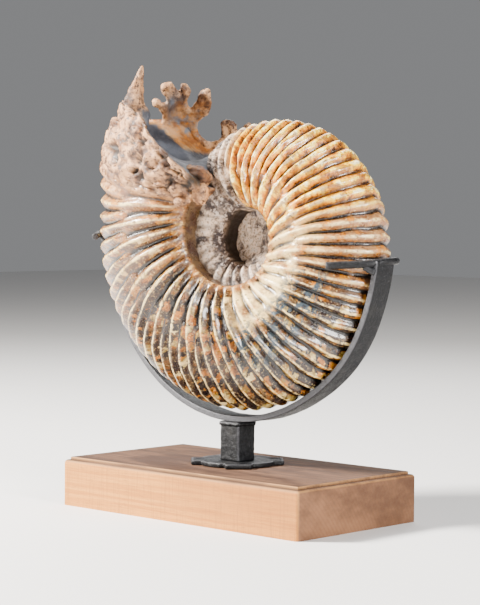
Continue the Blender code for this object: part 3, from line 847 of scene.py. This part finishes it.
def fossilMaterial():
    made, tree, shader = newMaterial("fossilShell")
    c = fossilColours
    place3d = objectCoordinates(tree)
    coil = attribute(tree, "coil")
    masks = {name: attribute(tree, name) for name in maskNames}
    parts = tree.nodes.new("ShaderNodeSeparateXYZ")
    tree.links.new(coil, parts.inputs[0])
    phase, share = parts.outputs[0], times(tree, mathNode(tree, "ABSOLUTE", parts.outputs[1]), 1 / 14)
    wavy = scaled(tree, noiseNode(tree, place3d, 160.0, 3, 0.6), 0.3, -0.15)
    near = plus(tree, times(tree, mathNode(tree, "PINGPONG", phase, 0.5), 2.0), wavy)
    far = plus(tree, mathNode(tree, "PINGPONG", phase, 1.0), wavy)
    single = ranged(tree, share, 0.5, 0.75)
    fromCrest = plus(tree, times(tree, mathNode(tree, "SUBTRACT", far, near), single), near)
    ribbed = times(tree, ranged(tree, share, 0.99, 0.9),
                      mathNode(tree, "SUBTRACT", 1.0, masks["bare"]))
    rib = times(tree, scaled(tree, fromCrest, -2.0, 1.0), ribbed)
    patchy = noiseNode(tree, stretched(tree, coil, (0.55, 0.5, 1)), 1.0, 3, 0.6)
    streaks = noiseNode(tree, stretched(tree, coil, (1.6, 0.8, 1), (7, 3, 0)), 1.0, 4, 0.65)
    ragged = tree.nodes.new("ShaderNodeVectorMath")
    ragged.operation = "MULTIPLY_ADD"
    tree.links.new(noiseColour(tree, place3d, 190.0), ragged.inputs[0])
    ragged.inputs[1].default_value = (0.5, 0.9, 0.0)
    tree.links.new(coil, ragged.inputs[2])
    squares = squareCells(tree, stretched(tree, ragged.outputs[0], (2.0, 1.5, 1), (2, 5, 0)))
    squareValue = tree.nodes.new("ShaderNodeSeparateColor")
    tree.links.new(squares, squareValue.inputs[0])
    speckle = noiseNode(tree, place3d, 420.0, 4, 0.7)
    flecks = noiseNode(tree, place3d, 210.0, 4, 0.7)
    clouds = noiseNode(tree, place3d, 60.0, 5, 0.62)
    broad = noiseNode(tree, place3d, 26.0, 4, 0.6)
    groove = ranged(tree, rib, -0.25, -0.8)
    crest = ranged(tree, rib, 0.35, 0.8)

    # left flank: pinkish beige; the brown in the grooves is painted shade, the cream on the crests a painted
    # highlight
    colour = mixColour(tree, ranged(tree, clouds, 0.38, 0.62), c["rose"], c["beige"])
    grooveShade = times(tree, groove, ranged(tree, patchy, 0.3, 0.55, 0.35, 1.0))
    colour = mixColour(tree, grooveShade, colour, c["brown"])
    orangeSpots = times(tree, ranged(tree, streaks, 0.55, 0.62), 0.85)
    colour = mixColour(tree, orangeSpots, colour, c["orange"])
    crestHighlight = times(tree, crest, ranged(tree, streaks, 0.6, 0.4, 0.1, 0.95))
    colour = mixColour(tree, crestHighlight, colour, c["cream"])

    # bottom: dark brown and plum grooves, pushed darker still as painted shade, thin pale crests as a painted
    # highlight, square orange and olive patches
    stops = ((0.0, c["umber"]), (0.36, c["plum"]), (0.5, c["brown"]), (0.57, c["wallOlive"]), (0.63, c["rust"]),
             (0.68, c["orange"]), (0.74, c["olive"]), (0.83, c["cream"]))
    patchValue = plus(tree, times(tree, squareValue.outputs[0], 0.5),
                          times(tree, patchy, 0.6))
    patchValue = plus(tree, patchValue, times(tree, groove, -0.26))
    darkColour = ramp(tree, patchValue, stops)
    darkZoneCrestHighlight = times(tree, ranged(tree, rib, 0.55, 0.85), ranged(tree, flecks, 0.4, 0.6, 0.35, 1.0))
    darkColour = mixColour(tree, darkZoneCrestHighlight, darkColour, c["cream"])
    colour = mixColour(tree, masks["dark"], colour, darkColour)

    # upper right: gold with nacre; the ribs shift the crests towards white as a painted highlight and the grooves
    # towards brown as painted shade
    goldValue = plus(tree, times(tree, rib, 0.16), streaks)
    goldValue = plus(tree, goldValue, scaled(tree, broad, 0.5, -0.25))
    stops = ((0.28, c["brown"]), (0.41, c["orange"]), (0.51, c["amber"]), (0.6, c["yellow"]), (0.69, c["white"]))
    goldColour = ramp(tree, goldValue, stops)
    goldColour = mixColour(tree, times(tree, groove, 0.55), goldColour, c["brown"])
    brownPatch = times(tree, ranged(tree, flecks, 0.54, 0.62), 0.7)
    goldColour = mixColour(tree, brownPatch, goldColour, c["rust"])
    blotch = ranged(tree, squareValue.outputs[1], 0.64, 0.7)
    goldColour = mixColour(tree, times(tree, blotch, 0.55), goldColour, c["rust"])
    colour = mixColour(tree, masks["gold"], colour, goldColour)

    # lower right: cream near the umbilicus and grey blue leaf shaped patches
    paleMask = times(tree, masks["pale"], ranged(tree, patchy, 0.36, 0.56))
    colour = mixColour(tree, paleMask, colour, c["cream"])
    leaf = noiseNode(tree, stretched(tree, coil, (0.9, 0.9, 1), (1, 9, 0)), 1.0, 5, 0.75, 0.6)
    blueMask = times(tree, masks["blue"], ranged(tree, leaf, 0.5, 0.53))
    colour = mixColour(tree, blueMask, colour, c["slate"])

    # mottling of the polished shell: dark specks in the grooves, nacre flecks
    darkFlecks = times(tree, ranged(tree, flecks, 0.42, 0.34), 0.6)
    colour = mixColour(tree, darkFlecks, colour, c["brown"])
    lightFlecks = times(tree, ranged(tree, speckle, 0.56, 0.66), 0.6)
    lightFlecks = times(tree, lightFlecks, scaled(tree, masks["gold"], -0.55, 1.0))
    colour = mixColour(tree, lightFlecks, colour, c["cream"])

    # painted shade: the grooves are darkened towards umber, less in the gold, and also inside the pit
    deepGrooveShade = times(tree, ranged(tree, rib, -0.25, -0.72), ranged(tree, patchy, 0.35, 0.6, 0.98, 0.6))
    deepGrooveShade = times(tree, deepGrooveShade, scaled(tree, masks["gold"], -0.6, 1.0))
    colour = mixColour(tree, deepGrooveShade, colour, c["umber"])

    # umbilical wall, inner whorls, bare stone, septum
    wallColour = mixColour(tree, ranged(tree, flecks, 0.4, 0.6), c["wall"], c["wallOlive"])
    wallColour = mixColour(tree, ranged(tree, clouds, 0.5, 0.62), wallColour, c["brown"])
    colour = mixColour(tree, masks["olive"], colour, wallColour)
    pitColour = mixColour(tree, ranged(tree, clouds, 0.4, 0.58), c["pitDark"], c["pitLight"])
    pitColour = mixColour(tree, ranged(tree, flecks, 0.5, 0.62), pitColour, c["ash"])
    pitColour = mixColour(tree, ranged(tree, speckle, 0.5, 0.4, 0, 0.6), pitColour, c["wall"])
    pitColour = mixColour(tree, times(tree, deepGrooveShade, 0.4), pitColour, c["umber"])
    colour = mixColour(tree, masks["pit"], colour, pitColour)
    bareColour = mixColour(tree, ranged(tree, clouds, 0.38, 0.58), c["bareDark"], c["bareLight"])
    rust = times(tree, ranged(tree, noiseNode(tree, place3d, 45.0, 4, 0.6), 0.5, 0.64), 0.55)
    bareColour = mixColour(tree, rust, bareColour, c["rust"])
    bareFlecks = times(tree, ranged(tree, flecks, 0.48, 0.38), 0.85)
    bareColour = mixColour(tree, bareFlecks, bareColour, c["brown"])
    colour = mixColour(tree, masks["bare"], colour, bareColour)
    septumColour = mixColour(tree, ranged(tree, broad, 0.35, 0.65), c["septumDark"], c["septum"])
    colour = mixColour(tree, masks["septum"], colour, septumColour)
    amberColour = mixColour(tree, ranged(tree, clouds, 0.38, 0.6), c["rust"], c["tan"])
    amberColour = mixColour(tree, ranged(tree, flecks, 0.5, 0.62, 0, 0.45), amberColour, c["orange"])
    amberColour = mixColour(tree, ranged(tree, broad, 0.5, 0.6), amberColour, c["septum"])
    colour = mixColour(tree, masks["amber"], colour, amberColour)
    # painted shade: hollows, holes and walls under overhangs are darkened towards a near-black brown
    colour = mixColour(tree, masks["cavity"], colour, c["creviceShade"])
    deeper = tree.nodes.new("ShaderNodeGamma")
    deeper.inputs["Gamma"].default_value = 1.55
    tree.links.new(colour, deeper.inputs["Color"])
    tree.links.new(deeper.outputs["Color"], shader.inputs["Base Color"])

    matt = plus(tree, masks["bare"], masks["pit"])
    matt = plus(tree, matt, masks["septum"])
    matt = plus(tree, matt, masks["amber"], clamp=True)
    shine = ranged(tree, flecks, 0.3, 0.7, 0.2, 0.44)
    roughness = scaled(tree, matt, 0.34, shine)
    tree.links.new(roughness, shader.inputs["Roughness"])
    coat = scaled(tree, matt, -0.4, 0.42)
    tree.links.new(coat, shader.inputs["Coat Weight"])
    shader.inputs["Coat Roughness"].default_value = 0.1
    lines = noiseNode(tree, stretched(tree, coil, (9.0, 0.5, 1)), 1.0, 3, 0.6)
    normal = surfaceGrain(tree, place3d, 700.0, 0.35, 0.0006)[1]
    normal = bumpNode(tree, lines, 0.3, 0.001, normal)
    normal = bumpNode(tree, flecks, 0.45, 0.0016, normal)
    tree.links.new(normal, shader.inputs["Normal"])
    return made


def ironMaterial():
    made, tree, shader = newMaterial("forgedIron")
    place3d = objectCoordinates(tree)
    grain, normal = surfaceGrain(tree, place3d, 420.0, 0.6, 0.0012)
    broad = noiseNode(tree, place3d, 60.0, 3, 0.5)
    wearAndSheen = attribute(tree, "wearAndSheen")
    colour = mixColour(tree, ranged(tree, grain, 0.4, 0.66), linear(5, 5, 7), linear(20, 21, 24))
    colour = mixColour(tree, ranged(tree, broad, 0.55, 0.72, 0, 0.25), colour, linear(52, 50, 48))
    # lighter where the wear and sheen mask is set: rubbed iron, and on the bar's front faces and the plate's rim a
    # painted highlight
    lightPart = times(tree, wearAndSheen, ranged(tree, grain, 0.28, 0.5, 0.45, 1.0))
    colour = mixColour(tree, lightPart, colour, linear(84, 84, 88))
    specks = ranged(tree, noiseNode(tree, place3d, 800.0, 3, 0.6), 0.62, 0.7, 0, 0.45)
    colour = mixColour(tree, specks, colour, linear(112, 113, 118))
    tree.links.new(colour, shader.inputs["Base Color"])
    shader.inputs["Metallic"].default_value = 0.15
    shader.inputs["Specular IOR Level"].default_value = 0.3
    tree.links.new(ranged(tree, grain, 0.3, 0.7, 0.34, 0.6), shader.inputs["Roughness"])
    normal = bumpNode(tree, broad, 0.3, 0.002, normal)
    tree.links.new(normal, shader.inputs["Normal"])
    return made


def woodMaterial():
    made, tree, shader = newMaterial("plinthWood")
    place3d = objectCoordinates(tree)
    parts = tree.nodes.new("ShaderNodeSeparateXYZ")
    tree.links.new(place3d, parts.inputs[0])
    onEnd = ranged(tree, mathNode(tree, "ABSOLUTE", parts.outputs[0]), 0.1600, 0.1610)
    onTop = ranged(tree, parts.outputs[2], 0.0445, 0.0462)
    warp = noiseNode(tree, stretched(tree, place3d, (3, 14, 14)), 1.0, 3, 0.5)
    along = noiseNode(tree, stretched(tree, place3d, (7, 300, 300)), 1.0, 4, 0.6, 0.3)
    pores, normal = surfaceGrain(tree, stretched(tree, place3d, (80, 1600, 1600)), 1.0, 0.3, 0.0006)
    clouds = noiseNode(tree, stretched(tree, place3d, (9, 22, 40)), 1.0, 4, 0.6)

    front = mixColour(tree, ranged(tree, along, 0.35, 0.65), linear(178, 113, 46), linear(200, 135, 62))
    front = mixColour(tree, ranged(tree, warp, 0.4, 0.7, 0, 0.5), front, linear(134, 76, 34))
    front = mixColour(tree, ranged(tree, pores, 0.55, 0.7, 0, 0.55), front, linear(112, 76, 48))
    sawn = noiseNode(tree, stretched(tree, place3d, (760, 20, 24)), 1.0, 3, 0.6)
    front = mixColour(tree, ranged(tree, sawn, 0.5, 0.68, 0, 0.5), front, linear(138, 92, 50))

    # end grain: brown with arcs of the saw; its darker tone than the front is partly the end grain's own and partly
    # painted shade
    saw = tree.nodes.new("ShaderNodeTexWave")
    saw.wave_type = "RINGS"
    saw.rings_direction = "X"
    tree.links.new(stretched(tree, place3d, (1, 1, 1), (0.0, 0.24, 0.14)), saw.inputs["Vector"])
    for name, value in (("Scale", 75.0), ("Distortion", 2.0), ("Detail", 3.0), ("Detail Scale", 40.0)):
        saw.inputs[name].default_value = value
    end = mixColour(tree, ranged(tree, clouds, 0.25, 0.75), linear(84, 57, 40), linear(132, 92, 64))
    end = mixColour(tree, ranged(tree, saw.outputs["Fac"], 0.4, 0.9, 0, 0.16), end, linear(82, 58, 40))

    # the top is coloured much darker than the front
    top = mixColour(tree, ranged(tree, along, 0.35, 0.65), linear(62, 42, 30), linear(104, 74, 54))
    top = mixColour(tree, ranged(tree, clouds, 0.44, 0.6, 0, 0.75), top, linear(50, 31, 22))
    top = mixColour(tree, ranged(tree, pores, 0.55, 0.7, 0, 0.5), top, linear(56, 36, 26))

    colour = mixColour(tree, onEnd, front, end)
    colour = mixColour(tree, onTop, colour, top)
    rubbed = times(tree, attribute(tree, "wearAndSheen"), ranged(tree, clouds, 0.35, 0.55, 0.2, 0.6))
    colour = mixColour(tree, rubbed, colour, linear(186, 136, 84))
    tree.links.new(colour, shader.inputs["Base Color"])
    tree.links.new(ranged(tree, along, 0.3, 0.7, 0.68, 0.82), shader.inputs["Roughness"])
    shader.inputs["Specular IOR Level"].default_value = 0.25
    normal = bumpNode(tree, along, 0.15, 0.0008, normal)
    tree.links.new(normal, shader.inputs["Normal"])
    return made


def dress(item, material):
    item.data.materials.clear()
    item.data.materials.append(material)


fossil = fossilMaterial()
iron = ironMaterial()
wood = woodMaterial()
print("stage: materials")

ammonite = buildAmmonite()
dress(ammonite, fossil)
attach(ammonite, "root")
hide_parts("ammonite")

# the iron stand, sizes in millimetres and angles round the bar's middle in degrees
bar = {
    "middle": (6.5, 0.0, 279.4), "outer": 186.0, "width": 25.5, "thick": 6.0, "edge": 1.1,
    "from": 181.4, "to": 353.2, "bulge": 2.4, "bulgeAt": 322.0, "bulgeSpread": 16.0, "step": 2.0,
}
fork = {
    "radius": 3.6, "bend": 7.0, "step": 1.2, "tip": 1.0,
    "right": ((152.2, -41.2, 252.8), (185, -15, 254.8), (190.5, 0, 257.2), (190, 17, 257.6), (158, 51, 255.6)),
    "left": ((-159, -46, 275.5), (-185, -17, 278), (-180, 0, 278.6), (-183, 17, 279), (-158, 46, 276)),
    "rightWeld": ((179, -18, 252.6), (187.5, -11.5, 246.5)), "leftWeld": ((-177, -18, 276), (-181, -11.5, 270)),
    "weldRadius": 3.4,
}
post = {
    "x": 2.5, "side": 25.4, "edge": 2.2, "from": 54.0, "to": 93.1, "step": 1.1,
    "bead": 1.9, "beadAt": 90.8, "beadTop": 93.12,
}
plate = {"lobe": 40.0, "ear": 46.5, "notch": 36.6, "notchFrom": 22.0, "notchTo": 26.0, "base": 50.1, "points": 240}


def roundedBox(wide, deep, edge, spacing):
    corners = []
    for x, y, start in ((1, 1, 0), (-1, 1, 90), (-1, -1, 180), (1, -1, 270)):
        middleX, middleY = x * (wide / 2 - edge), y * (deep / 2 - edge)
        for turn in np.radians(np.linspace(start, start + 90, 4)):
            corners.append((middleX + edge * math.cos(turn), middleY + edge * math.sin(turn)))
    outline = []
    for first, second in zip(corners, corners[1:] + corners[:1]):
        parts = max(int(math.dist(first, second) / spacing), 1)
        for k in range(parts):
            outline.append(np.array(first) + (np.array(second) - np.array(first)) * k / parts)
    return np.array(outline)


def roundOutline(radius, count):
    turn = np.linspace(0, 2 * math.pi, count, endpoint=False)
    return np.stack([radius * np.cos(turn), radius * np.sin(turn)], axis=1)


def sweep(name, centres, across, outline, edge, step):
    centres = np.array(centres, float)
    length = np.r_[0, np.cumsum(np.linalg.norm(np.diff(centres, axis=0), axis=1))]
    total = length[-1]
    eased = np.array((0.0, 0.0, 0.08, 0.3, 0.62))  # rows that round the two ends
    insets = np.array((9.0, 1.0, 0.6, 0.3, 0.08))
    body = np.linspace(edge, total - edge, max(int(total / step), 2))
    at = np.r_[eased * edge, body, total - eased[::-1] * edge]
    inset = np.r_[insets, np.zeros(len(body)), insets[::-1]] * edge
    count = len(outline)
    deselect()
    bpy.ops.mesh.primitive_grid_add(x_subdivisions=count, y_subdivisions=len(at) - 1, size=1.0)
    item = bpy.context.object
    item.name = name
    flat = coordinates(item)
    column = np.round((flat[:, 0] + 0.5) * count).astype(int) % count
    row = np.round((flat[:, 1] + 0.5) * (len(at) - 1)).astype(int)

    def along(value):
        return np.stack([np.interp(value, length, centres[:, i]) for i in range(3)], axis=1)

    forward = along(np.minimum(at + 1.0, total)) - along(np.maximum(at - 1.0, 0.0))
    forward = forward / np.linalg.norm(forward, axis=1)[:, None]
    up = np.cross(forward, np.array(across, float))
    up = up / np.linalg.norm(up, axis=1)[:, None]
    side = np.cross(up, forward)
    shape = outline[column]
    drawn = np.minimum(np.abs(shape), inset[row][:, None])
    shape = shape - np.sign(shape) * drawn
    shape[(row == 0) | (row == len(at) - 1)] = 0.0
    points = along(at)[row] + side[row] * shape[:, :1] + up[row] * shape[:, 1:]
    setCoordinates(item, points * mm)
    return tidyMesh(item)


def hammer(item, amount, size, seed):
    points = coordinates(item) / mm
    lumps = noiseAt(points, size, seed) * amount + noiseAt(points, size / 3, seed + 1) * amount * 0.4
    setCoordinates(item, (points + normalsOf(item) * lumps[:, None]) * mm)


def bentRod(corners, radius):
    points = [Vector(corners[0])]
    for before, corner, after in zip(corners, corners[1:], corners[2:]):
        corner = Vector(corner)
        start = corner + (Vector(before) - corner).normalized() * radius
        end = corner + (Vector(after) - corner).normalized() * radius
        for k in range(9):
            points.append(start.lerp(corner, k / 8).lerp(corner.lerp(end, k / 8), k / 8))
    points.append(Vector(corners[-1]))
    return [tuple(p) for p in points]


def buildBar():
    angles = np.linspace(bar["from"], bar["to"], 300)
    away = (angles - bar["bulgeAt"]) / bar["bulgeSpread"]
    radius = bar["outer"] + bar["bulge"] * np.exp(-away * away) - bar["thick"] / 2
    turn = np.radians(angles)
    centres = np.stack([radius * np.cos(turn), turn * 0, radius * np.sin(turn)], axis=1) + np.array(bar["middle"])
    outline = roundedBox(bar["width"], bar["thick"], bar["edge"], 2.0)
    item = sweep("cradleBar", centres, (0, 1, 0), outline, bar["edge"], bar["step"])
    hammer(item, 0.22, 9.0, 41.0)
    # the faces turned to the front are painted lighter: partly wear, partly a painted highlight
    addMask(item, "wearAndSheen", 0.8 * smooth(-normalsOf(item)[:, 1], 0.25, 0.75))
    return item


def buildFork(hand):
    corners = fork[hand]
    outline = roundOutline(fork["radius"], 20)
    item = sweep(hand + "Fork", bentRod(corners, fork["bend"]), (0, 0, 1), outline, fork["tip"], fork["step"])
    hammer(item, 0.18, 6.0, 43.0)
    points = coordinates(item) / mm
    tip = np.linalg.norm(points - np.array(corners[0]), axis=1)
    # lighter at the worn tip and on the faces turned upward
    addMask(item, "wearAndSheen", 0.45 * (1 - smooth(tip, 2.0, 6.0)) + 0.25 * smooth(normalsOf(item)[:, 2], 0.5, 0.9))
    outline = roundOutline(fork["weldRadius"], 14)
    weld = sweep(hand + "ForkWeld", fork[hand + "Weld"], (0, 0, 1), outline, 1.6, 0.9)
    hammer(weld, 0.6, 2.8, 51.0)
    addMask(weld, "wearAndSheen", np.full(len(weld.data.vertices), 0.15))
    return joined([item, weld])


def buildPost():
    x, half, height = post["x"], post["side"] / 2, post["beadAt"]
    outline = roundedBox(post["side"], post["side"], post["edge"], 1.3)
    centres = ((x, 0, post["from"]), (x, 0, post["to"]))
    item = sweep("post", centres, (1, 0, 0), outline, 0.8, post["step"])
    hammer(item, 0.45, 4.0, 45.0)
    addMask(item, "wearAndSheen", smooth(np.abs(normalsOf(item)[:, 0] * normalsOf(item)[:, 1]), 0.2, 0.45) * 0.5)
    around = [(x + half * a, half * b, height) for a, b in ((0, 1), (-1, 1), (-1, -1), (1, -1), (1, 1), (0.02, 1))]
    bead = sweep("weldBead", bentRod(around, 3.0), (0, 0, 1), roundOutline(post["bead"], 12), 0.6, 0.8)
    hammer(bead, 0.7, 2.6, 47.0)
    points = coordinates(bead)
    points[:, 2] = np.minimum(points[:, 2], post["beadTop"] * mm)
    setCoordinates(bead, points)
    # lighter on the faces turned upward
    addMask(bead, "wearAndSheen", smooth(normalsOf(bead)[:, 2], 0.0, 0.7) * 0.35)
    return joined([item, bead])


def buildPlate():
    turn = np.linspace(0, 360, plate["points"], endpoint=False)
    off = np.abs((turn + 45) % 90 - 45)
    radius = np.where(off < plate["notchFrom"], plate["lobe"], plate["ear"] / np.cos(np.radians(45 - off)))
    radius = np.where((off >= plate["notchFrom"]) & (off < plate["notchTo"]), plate["notch"], radius)
    spread = np.exp(-(np.arange(-6, 7) / 2.2) ** 2)
    radius = np.convolve(np.r_[radius[-6:], radius, radius[:6]], spread / spread.sum(), "valid")
    # distance in from the outline and height of each row; None is the middle
    rows = ((None, 0), (12, 0), (0.8, 0), (0.2, 0.5), (0, 1.2), (0, 3.2), (0.3, 4.0), (1.0, 4.5), (1.9, 4.6),
            (2.8, 4.4), (3.6, 3.9), (4.4, 3.6), (12, 3.6), (None, 3.6))
    count = len(turn)
    deselect()
    bpy.ops.mesh.primitive_grid_add(x_subdivisions=count, y_subdivisions=len(rows) - 1, size=1.0)
    item = bpy.context.object
    item.name = "footPlate"
    flat = coordinates(item)
    column = np.round((flat[:, 0] + 0.5) * count).astype(int) % count
    row = np.round((flat[:, 1] + 0.5) * (len(rows) - 1)).astype(int)
    inward = np.array([99.0 if r[0] is None else r[0] for r in rows])[row]
    reach = np.maximum(radius[column] - inward, 0.0)
    height = np.array([r[1] for r in rows], float)[row]
    angle = np.radians(turn)[column]
    points = np.stack([post["x"] + reach * np.cos(angle), reach * np.sin(angle), plate["base"] + height], axis=1)
    setCoordinates(item, points * mm)
    tidyMesh(item)
    points = coordinates(item) / mm
    lumps = noiseAt(points, 7.0, 49.0) * 0.18 * smooth(points[:, 2] - plate["base"], 1.0, 3.0)
    points[:, 2] += np.minimum(lumps, 0.1)
    setCoordinates(item, points * mm)
    # the raised rim is painted lighter as a painted highlight
    addMask(item, "wearAndSheen", smooth(points[:, 2] - plate["base"], 3.9, 4.5) * 0.6)
    return item


# the wooden block and the step on it, in millimetres
plinth = {"size": (322.6, 174.0, 46.8), "edge": 3.6, "inset": 5.5, "step": 3.0, "stepEdge": 0.8}


def chooseEdges(item, wanted):  # wanted says yes or no for the two ends of an edge, in millimetres
    pick(item)
    bpy.ops.object.mode_set(mode="EDIT")
    bpy.ops.mesh.select_mode(type="EDGE")
    bpy.ops.mesh.select_all(action="DESELECT")
    mesh = bmesh.from_edit_mesh(item.data)
    for edge in mesh.edges:
        edge.select_set(wanted(*(v.co / mm for v in edge.verts)))
    for face in mesh.faces:
        if all(edge.select for edge in face.edges):
            face.select_set(True)
    bmesh.update_edit_mesh(item.data)


def buildPlinth():
    high = plinth["size"][2]
    deselect()
    bpy.ops.mesh.primitive_cube_add(size=1.0, location=(0, 0, high / 2 * mm), scale=np.array(plinth["size"]) * mm)
    item = bpy.context.object
    item.name = "woodPlinth"
    bpy.ops.object.transform_apply(location=True, rotation=True, scale=True)
    chooseEdges(item, lambda a, b: max(a.z, b.z) > 1.0)
    bpy.ops.mesh.bevel(offset=plinth["edge"] * mm, segments=6, affect="EDGES")
    chooseEdges(item, lambda a, b: min(a.z, b.z) > high - 0.01)
    bpy.ops.mesh.inset(thickness=(plinth["inset"] - plinth["edge"]) * mm)
    bpy.ops.mesh.extrude_region_move(TRANSFORM_OT_translate={"value": (0, 0, plinth["step"] * mm)})
    chooseEdges(item, lambda a, b: min(a.z, b.z) > high + plinth["step"] - 0.01)
    bpy.ops.mesh.bevel(offset=plinth["stepEdge"] * mm, segments=2, affect="EDGES")
    tidyMesh(item)
    rounded = smooth(1.0 - np.abs(normalsOf(item)).max(axis=1), 0.05, 0.22)
    addMask(item, "wearAndSheen", rounded * (coordinates(item)[:, 2] > 1.0 * mm))
    return item


for node, item in (
    ("cradle_bar", buildBar()), ("right_fork", buildFork("right")), ("left_fork", buildFork("left")),
    ("post", buildPost()), ("foot_plate", buildPlate()),
):
    item.data.shade_smooth()
    dress(item, iron)
    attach(item, "root")
    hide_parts(node)
block = buildPlinth()
dress(block, wood)
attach(block, "root")
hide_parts("plinth")
print("stage: stand")


# floor and light
studio = {
    "floorSize": 12.0, "floorColour": (0.72, 0.71, 0.70, 1), "aim": (0.0, 0.0, 0.26),
    "world": 0.29, "worldColour": (0.80, 0.81, 0.83, 1),
    # place, size, power and colour of each light
    "key": ((-1.25, -1.30, 1.45), 0.5, 375.0, (1.0, 0.96, 0.90)),
    "fill": ((1.9, -0.35, 0.9), 0.5, 82.0, (1.0, 0.98, 0.96)),
    "back": ((-0.9, 1.3, 1.5), 1.0, 24.0, (1.0, 1.0, 1.0)),
}


def areaLight(name, position, size, power, colour):
    data = bpy.data.lights.new(name, "AREA")
    data.size = size
    data.energy = power
    data.color = colour
    lamp = bpy.data.objects.new(name, data)
    bpy.context.scene.collection.objects.link(lamp)
    lamp.location = position
    lamp.rotation_euler = (Vector(studio["aim"]) - Vector(position)).to_track_quat("-Z", "Y").to_euler()


def buildStudio():
    deselect()
    bpy.ops.mesh.primitive_plane_add(size=studio["floorSize"])
    floor = bpy.context.object
    floor.name = "floor"
    made, _, shader = newMaterial("paleFloor")
    shader.inputs["Base Color"].default_value = studio["floorColour"]
    shader.inputs["Roughness"].default_value = 0.7
    dress(floor, made)
    for name in ("key", "fill", "back"):
        areaLight(name, *studio[name])
    world = bpy.data.worlds.new("studio")
    world.use_nodes = True
    bpy.context.scene.world = world
    background = world.node_tree.nodes["Background"]
    background.inputs["Color"].default_value = studio["worldColour"]
    background.inputs["Strength"].default_value = studio["world"]


buildStudio()
print("stage: studio")
